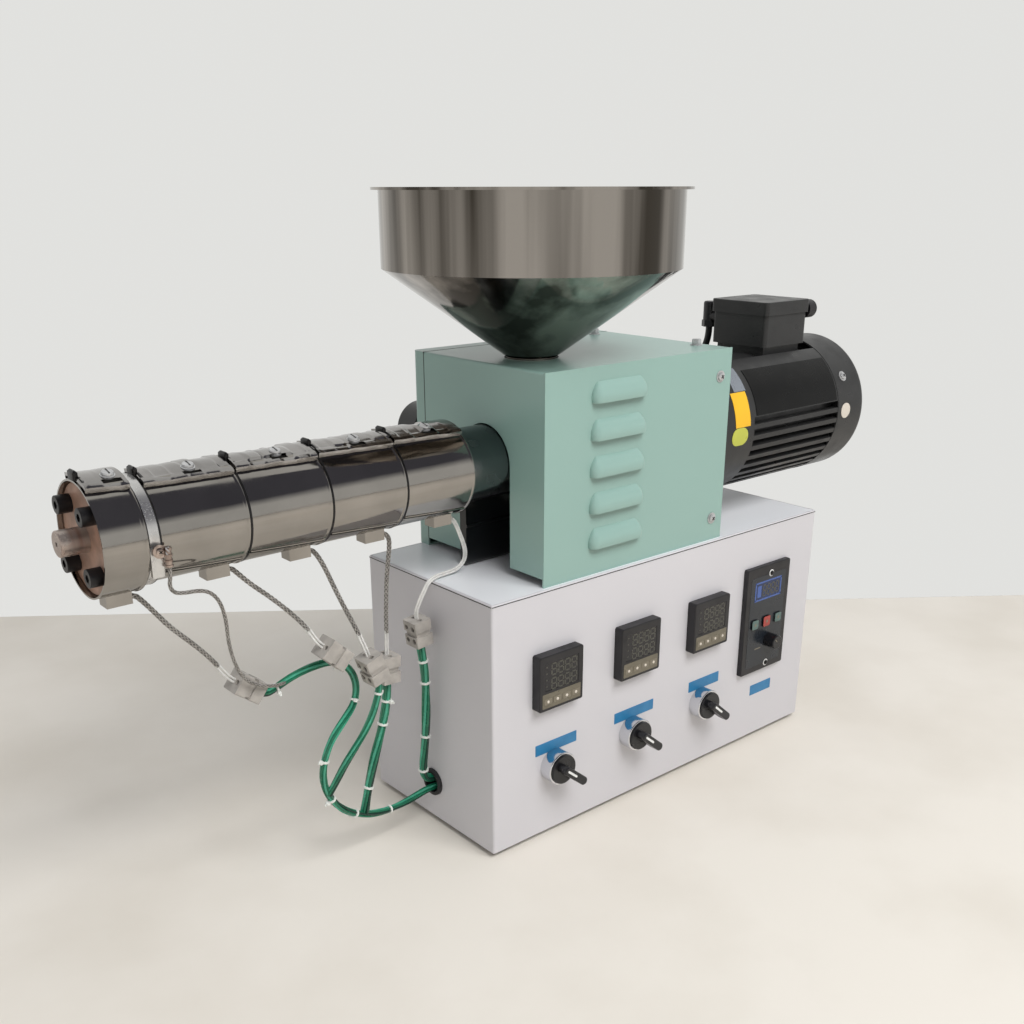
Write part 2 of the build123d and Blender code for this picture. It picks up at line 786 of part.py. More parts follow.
# Wiring
def make_cord(name, points, diameter):
    points = [Vector(*point) for point in points]
    radii = []
    for before, corner, after in zip(points, points[1:], points[2:]):
        run_in = corner - before
        run_out = after - corner
        shorter = min(run_in.length, run_out.length)
        radii.append(0.45 * shorter / math.tan(math.radians(run_in.get_angle(run_out)) / 2))
    path = FilletPolyline(*points, radius=radii)
    start = Plane(origin=points[0], z_dir=points[1] - points[0])
    tube = sweep(start * Circle(diameter / 2), path=path)
    expected = math.pi * diameter ** 2 / 4 * path.length
    print(f"{name}: length {path.length:.0f} mm, smallest radius {min(radii):.0f} mm, "
          f"volume ratio {tube.volume / expected:.4f}")
    return tube


def make_connector_block(centre, direction):
    # A waisted ceramic block that lies along its lead, with wire bores and screw wells
    across = Vector(0, 1, 0)
    along = Vector(*direction).normalized()
    frame = Plane(origin=centre, x_dir=along, z_dir=along.cross(across))
    body = Box(ceramic_length, ceramic_width, ceramic_height)
    body = fillet(body.edges().filter_by(Axis.X), edge_round)
    for side in (-1, 1):
        notch = Box(ceramic_waist_length, 2 * ceramic_waist, ceramic_height + 1)
        body -= Pos(0, side * ceramic_width / 2, 0) * notch
        top = ceramic_height / 2
        body -= block(-ceramic_waist_length / 2, ceramic_waist_length / 2, -ceramic_width, ceramic_width,
                      side * top - ceramic_waist, side * top + ceramic_waist)
        for row in (-1, 1):
            well_x = side * ceramic_well_spread
            wire_y = row * ceramic_wire_spread
            body -= bar_x(side * ceramic_length / 2 - ceramic_bore_depth,
                          side * ceramic_length / 2 + ceramic_bore_depth, ceramic_bore_radius, wire_y, 0)
            for face in (-1, 1):
                body -= bar_z(face * top - ceramic_well_depth, face * top + ceramic_well_depth,
                              ceramic_well_radius, well_x, wire_y)
    return frame * body


def block_end(centre, direction, side):
    # The middle of a block's end face, where a lead or bundle enters
    along = Vector(*direction).normalized()
    return tuple(Vector(*centre) + along * (side * ceramic_length / 2))


block_places = {
    "a": ((-379, -20, 187), (0.79, 0, -0.62)),
    "b": ((-317.7, -38, 201.2), (0.72, 0, -0.69)),
    "c": ((-284.3, -38, 180.2), (0.31, 0, -0.95)),
    "d": ((-256, -14, 164), (-0.05, 0, -1)),
    "e": ((-220.2, -8, 183.7), (0.12, 0, -0.99)),
}


def band_start(number):
    return end_band_start if number == 1 else first_long_band + (number - 2) * band_pitch


def lead_start(number):
    if number == 1:
        return terminal_exit(band_start(number), end_band_radius, end_terminal_offset)
    return terminal_exit(band_start(number), band_radius, terminal_offset)


# Every lead leaves its terminal box sideways and then droops by the same first two steps
lead_droop = [(4, -0.5), (8, -5)]

lead_routes = {
    1: [(-437, -16, 256.5), (-428, -17, 243.5), (-415, -18.3, 229.5), (-402, -19.5, 213.5)],
    2: [(-368, -18, 261), (-355, -23.5, 248.5), (-343.5, -30, 235.5), (-335, -35.5, 223.5)],
    3: [(-308, -18, 259.5), (-303.2, -21.5, 243.5), (-298.5, -27.5, 227), (-294, -34, 212)],
    4: [(-249.8, -15.7, 262), (-251.3, -15.2, 250.5), (-253.2, -15, 236), (-254.3, -14.7, 218),
        (-254.9, -14.3, 199.5)],
    5: [(-182.5, -15, 261.5), (-177.5, -13.5, 251.5), (-173, -11, 242), (-172.5, -8.5, 233),
        (-179, -6.5, 226.8), (-189, -6.2, 225.8), (-199.5, -7.5, 226), (-209.5, -9.5, 224.2),
        (-215.5, -10.2, 216.5), (-219.5, -9.3, 208.5)],
}

probe_route = [(-437.8, -47.8, 284), (-435.5, -47, 278.3), (-428.5, -46, 276), (-419, -44.5, 275),
               (-410.5, -43, 272.3), (-404, -41.5, 265.8), (-400, -40, 256.5), (-397.8, -38.3, 245),
               (-397, -36.5, 232), (-394.5, -35.3, 218), (-390, -34, 205), (-382.5, -32.8, 195),
               (-372.5, -31.8, 189), (-363, -29.8, 185.8), (-355.5, -26, 183.3)]
probe_lead_end = (-349.5, -21.5, 181.5)

bundle_a_route = [(-357, -20, 178.5), (-344, -20, 183.5), (-327, -20.3, 187), (-309, -20.5, 187),
                  (-295.4, -21, 179), (-289.2, -22, 164.3), (-292.5, -23.5, 148.6),
                  (-304.2, -25, 137.7), (-316, -25, 125.5), (-322.5, -23.5, 110), (-324, -21, 93.5),
                  (-319.5, -18, 77), (-310.5, -15.5, 61.5), (-297, -12.5, 48), (-280, -10, 38),
                  (-260, -7, 32), (-239, -4.5, 30.5), (-222, -2.8, 32)]
bundle_c_route = [(-281.5, -37.5, 153), (-286, -36.5, 140), (-293, -35, 127), (-301.5, -32.5, 114.5),
                  (-309, -29, 101.5), (-314, -24.5, 88)]
bundle_c_end = (-318, -19, 75.5)
bundle_d_route = [(-258, -14, 134), (-260.5, -13, 120), (-264.5, -12, 105), (-269, -11, 90),
                  (-273, -10, 74), (-277, -9.3, 58)]
bundle_d_end = (-281, -9.6, 40.5)
bundle_e_route = [(-216, -8, 154), (-214.3, -7.3, 138), (-213.7, -6.3, 121), (-213.3, -5.2, 103),
                  (-213.8, -4.2, 86), (-215, -3.2, 70), (-216.2, -2.6, 57), (-215.3, -2.2, 48)]
bundle_e_turn = -210.5

motor_cable_route = [(176.2, 43.5, 370), (176, 49.5, 358.5), (175.6, 56.5, 346), (175.2, 62.5, 332),
                     (174.6, 66.5, 315), (173.8, 68.3, 295), (172.8, 69, 273), (171.3, 68.7, 255)]
gland_stub = 8.0
entry_stub = 24.0
block_stub = 6.0
probe_stub = 6.0
grommet_stub = 8.0


def stub_before(name):
    centre, direction = block_places[name]
    along = Vector(*direction).normalized()
    end = Vector(*block_end(centre, direction, -1))
    return [tuple(end - along * block_stub), tuple(end)]


def stub_after(name):
    centre, direction = block_places[name]
    along = Vector(*direction).normalized()
    end = Vector(*block_end(centre, direction, 1))
    return [tuple(end), tuple(end + along * block_stub)]


def make_heater_lead(number, letter):
    start = lead_start(number)
    droop = [(start[0] + right, start[1], start[2] + up) for right, up in lead_droop]
    route = [start] + droop + lead_routes[number] + stub_before(letter)
    return make_cord(f"heater_lead_{number}", route, lead_diameter)


def make_thermocouple_lead():
    x, y, z = probe_sleeve_end()
    route = [(x, y, z), (x, y, z - probe_stub)] + probe_route + [probe_lead_end]
    return make_cord("thermocouple_lead", route, probe_lead_diameter)


def make_wire_bundles():
    inside = cabinet_left + wire_entry
    low_z = grommet_z - grommet_bore + bundle_a_diameter / 2 + grommet_wire_gap
    high_z = grommet_z + grommet_bore - bundle_e_diameter / 2 - grommet_wire_gap
    route_a = (stub_after("a") + bundle_a_route
               + [(cabinet_left - grommet_stub, grommet_y, low_z), (inside, grommet_y, low_z)])
    route_e = (stub_after("e") + bundle_e_route
               + [(bundle_e_turn, grommet_y, high_z), (inside, grommet_y, high_z)])
    return {
        "wire_bundle_a": make_cord("wire_bundle_a", route_a, bundle_a_diameter),
        "wire_bundle_c": make_cord("wire_bundle_c", stub_after("c") + bundle_c_route + [bundle_c_end],
                                   bundle_c_diameter),
        "wire_bundle_d": make_cord("wire_bundle_d", stub_after("d") + bundle_d_route + [bundle_d_end],
                                   bundle_d_diameter),
        "wire_bundle_e": make_cord("wire_bundle_e", route_e, bundle_e_diameter),
    }


def make_motor_cable():
    route = [(gland_x, gland_y, gland_bottom), (gland_x, gland_y, gland_bottom - gland_stub)]
    route += motor_cable_route
    low = cabinet_top - wire_entry
    route += [(cable_grommet_x, cable_grommet_y, low + entry_stub),
              (cable_grommet_x, cable_grommet_y, low)]
    return make_cord("motor_cable", route, motor_cable_diameter)


def build():
    save("base_plate", make_base_plate())
    save("cabinet_shell", make_cabinet_shell())
    save("cabinet_top_plate", make_cabinet_top_plate())
    save("cable_grommet", make_cable_grommet())
    for number, x in enumerate(controller_xs, start=1):
        save(f"temperature_controller_{number}", make_temperature_controller(x))
        save(f"switch_collar_{number}", make_switch_collar(x))
        save(f"switch_handle_{number}", make_switch_handle(x))
    save("speed_controller", make_speed_controller())
    save("speed_knob", make_speed_knob())
    save("housing_cover", make_housing_cover())
    save("front_cover", make_front_cover())
    save("back_cover", make_back_cover())
    save("rear_cap", make_rear_cap())
    save("hopper", make_hopper())
    save("feed_throat", make_feed_throat())
    save("barrel", make_barrel())
    save("die_head", make_die_head())
    save("nozzle", make_nozzle())
    save("die_bolts", make_die_bolts())
    save("band_heater_1", make_band_heater(end_band_start, end_band_length, die_radius, end_band_radius,
                                           end_band_bolt_share, end_terminal_offset))
    for number in range(2, long_band_count + 2):
        save(f"band_heater_{number}", make_band_heater(band_start(number), band_length, barrel_radius,
                                                       band_radius, band_bolt_share, terminal_offset))
    save("thermocouple_strap", make_thermocouple_strap())
    save("thermocouple", make_thermocouple())
    save("barrel_support", make_barrel_support())
    save("gearbox", make_gearbox())
    save("motor_body", make_motor_body())
    save("motor_fan_cover", make_motor_fan_cover())
    save("terminal_box", make_terminal_box())
    save("terminal_box_lid", make_terminal_box_lid())
    save("blanking_plug", make_blanking_plug())
    save("motor_cable_gland", make_motor_cable_gland())
    save("motor_cable_grommet", make_motor_cable_grommet())
    for letter, (centre, direction) in block_places.items():
        save(f"connector_block_{letter}", make_connector_block(centre, direction))
    for number, letter in enumerate(block_places, start=1):
        save(f"heater_lead_{number}", make_heater_lead(number, letter))
    save("thermocouple_lead", make_thermocouple_lead())
    for name, bundle in make_wire_bundles().items():
        save(name, bundle)
    save("motor_cable", make_motor_cable())


build()
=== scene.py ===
import math

import bmesh
import bpy
from mathutils import Matrix, Vector, noise


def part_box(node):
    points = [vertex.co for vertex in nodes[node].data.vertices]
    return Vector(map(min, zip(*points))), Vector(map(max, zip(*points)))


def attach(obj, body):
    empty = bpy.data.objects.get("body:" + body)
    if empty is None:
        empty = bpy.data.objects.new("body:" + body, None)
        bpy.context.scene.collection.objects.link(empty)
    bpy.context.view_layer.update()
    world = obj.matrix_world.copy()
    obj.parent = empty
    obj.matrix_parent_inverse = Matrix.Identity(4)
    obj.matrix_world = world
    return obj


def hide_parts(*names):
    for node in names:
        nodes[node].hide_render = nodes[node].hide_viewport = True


# Mini plastic extruder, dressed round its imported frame. Sizes in the dictionaries are millimetres.

mm = 0.001
scene = bpy.context.scene
scene.view_settings.view_transform = "Standard"
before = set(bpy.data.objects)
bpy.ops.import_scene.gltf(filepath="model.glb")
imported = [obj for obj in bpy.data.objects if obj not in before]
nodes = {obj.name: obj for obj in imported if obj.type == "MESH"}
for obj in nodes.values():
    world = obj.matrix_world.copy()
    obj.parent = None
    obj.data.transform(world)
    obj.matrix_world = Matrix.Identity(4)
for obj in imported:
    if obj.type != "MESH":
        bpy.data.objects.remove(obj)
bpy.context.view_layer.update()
print("frame loaded with", len(nodes), "nodes")

# Camera

photoCamera = {"place": (-700.46, -687.9, 517.2), "heading": 0.865, "down": 0.367, "roll": -0.002,
               "lens": 39.01, "shiftUp": 0.0993}


def makeCamera():
    lens = bpy.data.cameras.new("photoCamera")
    lens.lens = photoCamera["lens"]
    lens.shift_y = photoCamera["shiftUp"]
    camera = bpy.data.objects.new("photoCamera", lens)
    scene.collection.objects.link(camera)
    camera.location = [value * mm for value in photoCamera["place"]]
    camera.rotation_euler = (math.pi / 2 - photoCamera["down"], 0, photoCamera["heading"] - math.pi / 2)
    camera.rotation_euler.rotate_axis("Z", photoCamera["roll"])
    scene.camera = camera


makeCamera()
print("camera placed")

# Finishes. Every finish is a small node tree: mottled colour, uneven gloss and a fine surface bump.

even = (1, 1, 1)    # a noise that isn't stretched


def addNode(tree, kind, settings=None):
    node = tree.nodes.new(kind)
    for key, value in (settings or {}).items():
        if key in node.inputs:
            node.inputs[key].default_value = value
        else:
            setattr(node, key, value)
    return node


def noiseAt(tree, places, scale, detail=3.0, stretch=even):
    if stretch != even:
        mapping = addNode(tree, "ShaderNodeMapping", {"Scale": stretch})
        tree.links.new(places, mapping.inputs["Vector"])
        places = mapping.outputs["Vector"]
    texture = addNode(tree, "ShaderNodeTexNoise", {"Scale": scale, "Detail": detail})
    tree.links.new(places, texture.inputs["Vector"])
    return texture.outputs["Fac"]


def remap(tree, value, low, high, start=0.3, end=0.7):
    node = addNode(tree, "ShaderNodeMapRange", {"From Min": start, "From Max": end,
                                                "To Min": low, "To Max": high})
    tree.links.new(value, node.inputs["Value"])
    return node.outputs["Result"]


def blendColours(tree, amount, first, second):
    mix = addNode(tree, "ShaderNodeMix", {"data_type": "RGBA"})
    tree.links.new(amount, mix.inputs["Factor"])
    for socket, colour in (("A", first), ("B", second)):
        target = [entry for entry in mix.inputs if entry.name == socket and entry.type == "RGBA"][0]
        if isinstance(colour, bpy.types.NodeSocket):
            tree.links.new(colour, target)
        else:
            target.default_value = (*colour, 1)
    return [entry for entry in mix.outputs if entry.type == "RGBA"][0]


def shaded(colour, factor):
    return tuple(min(1.0, value * factor) for value in colour)


def makeFinish(name, look):
    material = bpy.data.materials.new(name)
    material.use_nodes = True
    tree = material.node_tree
    shader = tree.nodes["Principled BSDF"]
    places = addNode(tree, "ShaderNodeTexCoord").outputs["Object"]
    colour = look["colour"]
    mottle = noiseAt(tree, places, look.get("mottleScale", 22), 4, look.get("mottleStretch", even))
    # The darker tone of the mottle: a real stain where given, and on the hopper painted reflection streaks.
    dark = look.get("stainAndReflection", shaded(colour, 1 - look.get("mottle", 0.2)))
    share = remap(tree, mottle, 0, 1, *look.get("mottleRange", (0.35, 0.7)))
    tone = blendColours(tree, share, colour, dark)
    tree.links.new(tone, shader.inputs["Base Color"])
    rough = look["rough"]
    spread = look.get("roughSpread", 0.25) * rough
    gloss = noiseAt(tree, places, look.get("glossScale", 60), 3, look.get("stretch", even))
    tree.links.new(remap(tree, gloss, rough - spread, rough + spread), shader.inputs["Roughness"])
    shader.inputs["Metallic"].default_value = look.get("metal", 0.0)
    shader.inputs["Coat Weight"].default_value = look.get("coat", 0.0)
    shader.inputs["Coat Roughness"].default_value = look.get("coatRough", 0.1)
    shader.inputs["Specular IOR Level"].default_value = look.get("specular", 0.5)
    height = None
    for scale, depth, *pull in look.get("bumps", [(900, 0.02)]):
        bump = addNode(tree, "ShaderNodeBump", {"Strength": 1.0, "Distance": depth * mm})
        tree.links.new(noiseAt(tree, places, scale, 3, *pull), bump.inputs["Height"])
        if height is not None:
            tree.links.new(height, bump.inputs["Normal"])
        height = bump.outputs["Normal"]
    tree.links.new(height, shader.inputs["Normal"])
    return material


finishLooks = {
    "cabinetGrey": {"colour": (0.6, 0.585, 0.605), "mottle": 0.03, "mottleScale": 5, "rough": 0.38,
                    "roughSpread": 0.04},
    "cabinetWhite": {"colour": (0.8, 0.81, 0.835), "mottle": 0.03, "mottleScale": 6, "rough": 0.32,
                     "roughSpread": 0.04},
    "baseBlack": {"colour": (0.03, 0.03, 0.03), "mottle": 0.06, "rough": 0.7, "bumps": [(700, 0.02)]},
    "blackRubber": {"colour": (0.018, 0.018, 0.019), "mottle": 0.06, "rough": 0.65,
                    "bumps": [(1200, 0.05)]},
    "instrumentBlack": {"colour": (0.013, 0.012, 0.014), "mottle": 0.3, "rough": 0.42,
                        "bumps": [(1800, 0.03)]},
    "switchBlack": {"colour": (0.012, 0.012, 0.014), "mottle": 0.3, "rough": 0.3},
    "chrome": {"colour": (0.72, 0.73, 0.76), "mottle": 0.05, "rough": 0.12, "metal": 1.0,
               "bumps": [(120, 0.01)]},
    "mintPaint": {"colour": (0.265, 0.41, 0.365), "mottle": 0.02, "mottleScale": 7, "rough": 0.33,
                  "roughSpread": 0.04, "coat": 0.15, "coatRough": 0.12, "bumps": [(420, 0.02)]},
    "glossBlack": {"colour": (0.008, 0.009, 0.01), "rough": 0.14, "bumps": [(60, 0.03)]},
    # The hopper's dark vertical streaks in its base colour are painted reflections of a dark room; the stretched
    # noise sets where they fall.
    "polishedStainless": {"colour": (0.37, 0.335, 0.3), "stainAndReflection": (0.055, 0.047, 0.038), "mottleScale": 26,
                          "mottleStretch": (1, 1, 0.03), "mottleRange": (0.38, 0.59), "rough": 0.09,
                          "roughSpread": 0.2, "metal": 1.0, "glossScale": 60, "stretch": (1, 1, 0.1),
                          "bumps": [(9, 0.6, (1, 1, 0.2)), (40, 0.06, (1, 1, 0.1))]},
    "bandStainless": {"colour": (0.35, 0.33, 0.305), "mottle": 0.16, "mottleScale": 26, "rough": 0.1,
                      "roughSpread": 0.7, "metal": 1.0, "glossScale": 45, "stretch": (0.5, 1, 1),
                      "bumps": [(38, 0.16, (0.45, 1, 1)), (170, 0.012, (0.3, 1, 1)), (900, 0.004)]},
    "strapStainless": {"colour": (0.66, 0.65, 0.64), "mottleScale": 60, "rough": 0.27, "metal": 0.9,
                       "bumps": [(120, 0.01)]},
    "lapStainless": {"colour": (0.4, 0.385, 0.375), "mottle": 0.25, "mottleScale": 30, "rough": 0.15,
                     "metal": 1.0, "bumps": [(45, 0.05), (900, 0.004)]},
    "machinedSteel": {"colour": (0.45, 0.45, 0.46), "mottle": 0.06, "rough": 0.3, "metal": 1.0,
                      "bumps": [(30, 0.05, (1, 1, 20))]},
    "darkSteel": {"colour": (0.17, 0.18, 0.185), "mottle": 0.25, "mottleScale": 14, "rough": 0.24,
                  "metal": 1.0, "bumps": [(14, 0.05, (60, 1, 1)), (20, 0.3)]},
    "heatedSteel": {"colour": (0.46, 0.27, 0.19), "stainAndReflection": (0.27, 0.17, 0.13), "mottleScale": 60,
                    "rough": 0.45, "metal": 0.25, "bumps": [(90, 0.08), (700, 0.03)]},
    "nozzleSteel": {"colour": (0.46, 0.4, 0.36), "stainAndReflection": (0.36, 0.26, 0.22), "mottleScale": 40,
                    "mottleStretch": (6, 1, 1), "rough": 0.3, "metal": 0.7,
                    "bumps": [(9, 0.05, (110, 1, 1))]},
    "blackOxide": {"colour": (0.016, 0.015, 0.016), "mottle": 0.4, "rough": 0.36, "metal": 0.3,
                   "bumps": [(500, 0.05)]},
    "motorBlack": {"colour": (0.028, 0.028, 0.028), "mottle": 0.25, "mottleScale": 16, "rough": 0.36,
                   "specular": 0.35, "bumps": [(500, 0.06), (30, 0.12)]},
    "cableBlack": {"colour": (0.014, 0.014, 0.014), "mottle": 0.06, "rough": 0.5, "bumps": [(800, 0.04)]},
    "sleeveSteel": {"colour": (0.5, 0.475, 0.44), "stainAndReflection": (0.24, 0.22, 0.2), "mottleScale": 420,
                    "rough": 0.42, "metal": 0.45, "bumps": [(1500, 0.1)]},
    # sleeveDark: a darker copy of sleeveSteel for the braid's core, painted shade between the strands.
    "sleeveDark": {"colour": (0.16, 0.15, 0.14), "mottle": 0.4, "mottleScale": 300, "rough": 0.5,
                   "metal": 0.4, "bumps": [(1500, 0.1)]},
    "glassSleeve": {"colour": (0.7, 0.69, 0.66), "mottle": 0.18, "mottleScale": 260, "rough": 0.5,
                    "bumps": [(1400, 0.08)]},
    "ceramic": {"colour": (0.43, 0.4, 0.365), "mottle": 0.3, "mottleScale": 90, "rough": 0.5,
                "bumps": [(500, 0.06)]},
    "wireGreen": {"colour": (0.01, 0.165, 0.085), "mottle": 0.35, "mottleScale": 90, "rough": 0.28,
                  "bumps": [(300, 0.03)]},
    # wirePale and wireDark are lighter and darker copies of wireGreen: painted highlight and painted shade.
    "wirePale": {"colour": (0.06, 0.36, 0.23), "mottle": 0.3, "mottleScale": 90, "rough": 0.26,
                 "bumps": [(300, 0.03)]},
    "wireDark": {"colour": (0.01, 0.045, 0.03), "mottle": 0.3, "rough": 0.3, "bumps": [(300, 0.03)]},
    "tieWhite": {"colour": (0.78, 0.79, 0.75), "mottle": 0.08, "rough": 0.35, "bumps": [(700, 0.02)]},
    "zincBright": {"colour": (0.56, 0.56, 0.56), "mottleScale": 200, "rough": 0.38, "metal": 0.5},
    "terminalBrass": {"colour": (0.52, 0.43, 0.38), "stainAndReflection": (0.24, 0.17, 0.14), "mottleScale": 200,
                      "rough": 0.3, "metal": 1.0, "bumps": [(900, 0.03)]},
    "clampBlack": {"colour": (0.014, 0.013, 0.013), "mottle": 0.4, "rough": 0.33, "metal": 0.4,
                   "bumps": [(700, 0.04)]},
    "labelBlue": {"colour": (0.025, 0.19, 0.39), "mottle": 0.15, "mottleScale": 120, "rough": 0.38,
                  "bumps": [(600, 0.02)]},
    "displayGlass": {"colour": (0.011, 0.01, 0.012), "rough": 0.13, "bumps": [(90, 0.004)]},
    "digitGrey": {"colour": (0.06, 0.058, 0.046), "rough": 0.3, "bumps": [(900, 0.01)]},
    "keyStrip": {"colour": (0.155, 0.135, 0.095), "mottleScale": 90, "rough": 0.35},
    "keyPale": {"colour": (0.19, 0.165, 0.12), "mottle": 0.15, "rough": 0.35},
    "dotPale": {"colour": (0.66, 0.6, 0.52), "mottle": 0.1, "rough": 0.4, "bumps": [(900, 0.01)]},
    "displayBlue": {"colour": (0.012, 0.026, 0.085), "rough": 0.16, "bumps": [(200, 0.004)]},
    "markBlue": {"colour": (0.055, 0.11, 0.34), "mottle": 0.15, "rough": 0.35, "bumps": [(900, 0.01)]},
    "panelSlate": {"colour": (0.016, 0.02, 0.026), "rough": 0.28, "bumps": [(1200, 0.01)]},
    "buttonRed": {"colour": (0.36, 0.045, 0.035), "mottle": 0.15, "rough": 0.35},
    "buttonGrey": {"colour": (0.1, 0.16, 0.145), "mottle": 0.15, "rough": 0.35},
    "pointerWhite": {"colour": (0.78, 0.78, 0.76), "mottle": 0.05, "rough": 0.4, "bumps": [(900, 0.01)]},
    "stickerYellow": {"colour": (0.83, 0.46, 0.012), "mottle": 0.08, "rough": 0.36,
                      "bumps": [(300, 0.02)]},
    "stickerLime": {"colour": (0.5, 0.52, 0.07), "mottle": 0.15, "rough": 0.36, "bumps": [(300, 0.02)]},
    "stickerGrey": {"colour": (0.2, 0.22, 0.25), "rough": 0.3, "bumps": [(300, 0.02)]},
    "plateBlack": {"colour": (0.006, 0.006, 0.006), "rough": 0.3, "specular": 0.15,
                   "bumps": [(200, 0.01)]},
}
finishes = {name: makeFinish(name, look) for name, look in finishLooks.items()}

nodeFinishes = {
    "base_plate": "baseBlack", "cabinet_shell": "cabinetGrey", "cabinet_top_plate": "cabinetWhite",
    "cable_grommet": "blackRubber", "temperature_controller": "instrumentBlack", "switch_collar": "chrome",
    "switch_handle": "switchBlack", "speed_controller": "instrumentBlack", "speed_knob": "switchBlack",
    "housing_cover": "mintPaint", "front_cover": "mintPaint", "back_cover": "mintPaint",
    "rear_cap": "glossBlack", "hopper": "polishedStainless", "feed_throat": "machinedSteel",
    "barrel": "darkSteel", "die_head": "heatedSteel", "nozzle": "nozzleSteel", "die_bolts": "blackOxide",
    "band_heater": "bandStainless", "thermocouple_strap": "strapStainless", "thermocouple": "terminalBrass",
    "barrel_support": "glossBlack", "gearbox": "glossBlack", "motor_body": "motorBlack",
    "motor_fan_cover": "motorBlack", "terminal_box": "motorBlack", "blanking_plug": "instrumentBlack",
    "motor_cable": "cableBlack", "motor_cable_gland": "instrumentBlack",
    "motor_cable_grommet": "blackRubber",
    "connector_block": "ceramic", "heater_lead": "sleeveSteel", "thermocouple_lead": "sleeveSteel",
    "wire_bundle": "wireGreen",
}


def finishNodes():
    for name, piece in nodes.items():
        fitting = max((key for key in nodeFinishes if name.startswith(key)), key=len)
        piece.data.materials.clear()
        piece.data.materials.append(finishes[nodeFinishes[fitting]])


finishNodes()
print("frame nodes finished")

# Mesh helpers


def meshOf(name, shape):
    bmesh.ops.recalc_face_normals(shape, faces=shape.faces)
    mesh = bpy.data.meshes.new(name)
    shape.to_mesh(mesh)
    shape.free()
    return mesh


def addPiece(name, shape, finishNames, body="root"):
    mesh = meshOf(name, shape)
    piece = bpy.data.objects.new(name, mesh)
    scene.collection.objects.link(piece)
    for entry in finishNames:
        mesh.materials.append(finishes[entry])
    mesh.shade_smooth()
    mesh.set_sharp_from_angle(angle=math.radians(35))
    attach(piece, body)
    return piece


def axesAt(place, out, up=(0, 0, 1)):
    # A matrix whose own Z points along out and whose own Y leans towards up
    out = Vector(out).normalized()
    side = Vector(up).cross(out)
    if side.length < 1e-6:
        side = Vector((1, 0, 0)).cross(out)
    side.normalize()
    turn = Matrix((side, out.cross(side), out)).transposed().to_4x4()
    return Matrix.Translation(Vector(place) * mm) @ turn


def moved(matrix, x=0.0, y=0.0, z=0.0):
    return matrix @ Matrix.Translation((x * mm, y * mm, z * mm))


def addSlab(shape, matrix, width, height, depth, corner=0.0, material=0, bevel=0.0, steps=4):
    # A plate in the matrix's XY plane that rises from its origin, with rounded corners and a bevelled rim
    outline = []
    for side, rise, start in ((1, 1, 0), (-1, 1, 90), (-1, -1, 180), (1, -1, 270)):
        centre = (side * (width / 2 - corner), rise * (height / 2 - corner))
        for step in range(steps + 1 if corner else 1):
            angle = math.radians(start + 90 * step / steps)
            outline.append((centre[0] + corner * math.cos(angle), centre[1] + corner * math.sin(angle)))
    levels = [(0, 0), (0, depth - bevel), (bevel, depth)] if bevel else [(0, 0), (0, depth)]
    rings = []
    for inset, level in levels:
        shrink = (1 - 2 * inset / width, 1 - 2 * inset / height)
        rings.append([shape.verts.new(matrix @ Vector((x * shrink[0] * mm, y * shrink[1] * mm, level * mm)))
                      for x, y in outline])
    count = len(outline)
    faces = [shape.faces.new(rings[0]), shape.faces.new(rings[-1])]
    for lower, upper in zip(rings, rings[1:]):
        faces += [shape.faces.new((lower[i], lower[(i + 1) % count], upper[(i + 1) % count], upper[i]))
                  for i in range(count)]
    for face in faces:
        face.material_index = material


def addTurned(shape, matrix, profile, sides=24, material=0, capped=True):
    # A turned form about the matrix's Z: profile is a list of (radius, height) from one end to the other
    rings = []
    for radius, height in profile:
        if radius <= 0:
            rings.append([shape.verts.new(matrix @ Vector((0, 0, height * mm)))])
        else:
            rings.append([shape.verts.new(matrix @ Vector((radius * mm * math.cos(2 * math.pi * i / sides),
                                                           radius * mm * math.sin(2 * math.pi * i / sides),
                                                           height * mm))) for i in range(sides)])
    faces = []
    for lower, upper in zip(rings, rings[1:]):
        for i in range(sides):
            j = (i + 1) % sides
            if len(lower) == 1:
                faces.append(shape.faces.new((lower[0], upper[j], upper[i])))
            elif len(upper) == 1:
                faces.append(shape.faces.new((lower[i], lower[j], upper[0])))
            else:
                faces.append(shape.faces.new((lower[i], lower[j], upper[j], upper[i])))
    for ring in (rings[0], rings[-1]):
        if capped and len(ring) > 1:
            faces.append(shape.faces.new(ring))
    for face in faces:
        face.material_index = material


def addPanScrew(shape, matrix, radius, material=0, dark=1):
    # A domed head with a cross recess shown as four short grooves
    addTurned(shape, matrix, [(radius * 0.8, 0), (radius, 0.1 * radius), (radius * 0.96, 0.35 * radius),
                              (radius * 0.7, 0.55 * radius), (radius * 0.3, 0.62 * radius),
                              (0, 0.63 * radius)], 20, material)
    for turn in (35, 125):
        groove = moved(matrix @ Matrix.Rotation(math.radians(turn), 4, "Z"), z=0.52 * radius)
        addSlab(shape, groove, radius * 1.05, radius * 0.26, radius * 0.14, 0, dark)


def addHexHead(shape, matrix, acrossFlats, height, material=0):
    corner = acrossFlats / math.sqrt(3)
    addTurned(shape, matrix, [(corner * 0.97, 0), (corner, 0.08 * height), (corner, 0.8 * height),
                              (corner * 0.86, height)], 6, material)


# Cords. Each route repeats the frame's own, and every visible strand follows the line read from it.

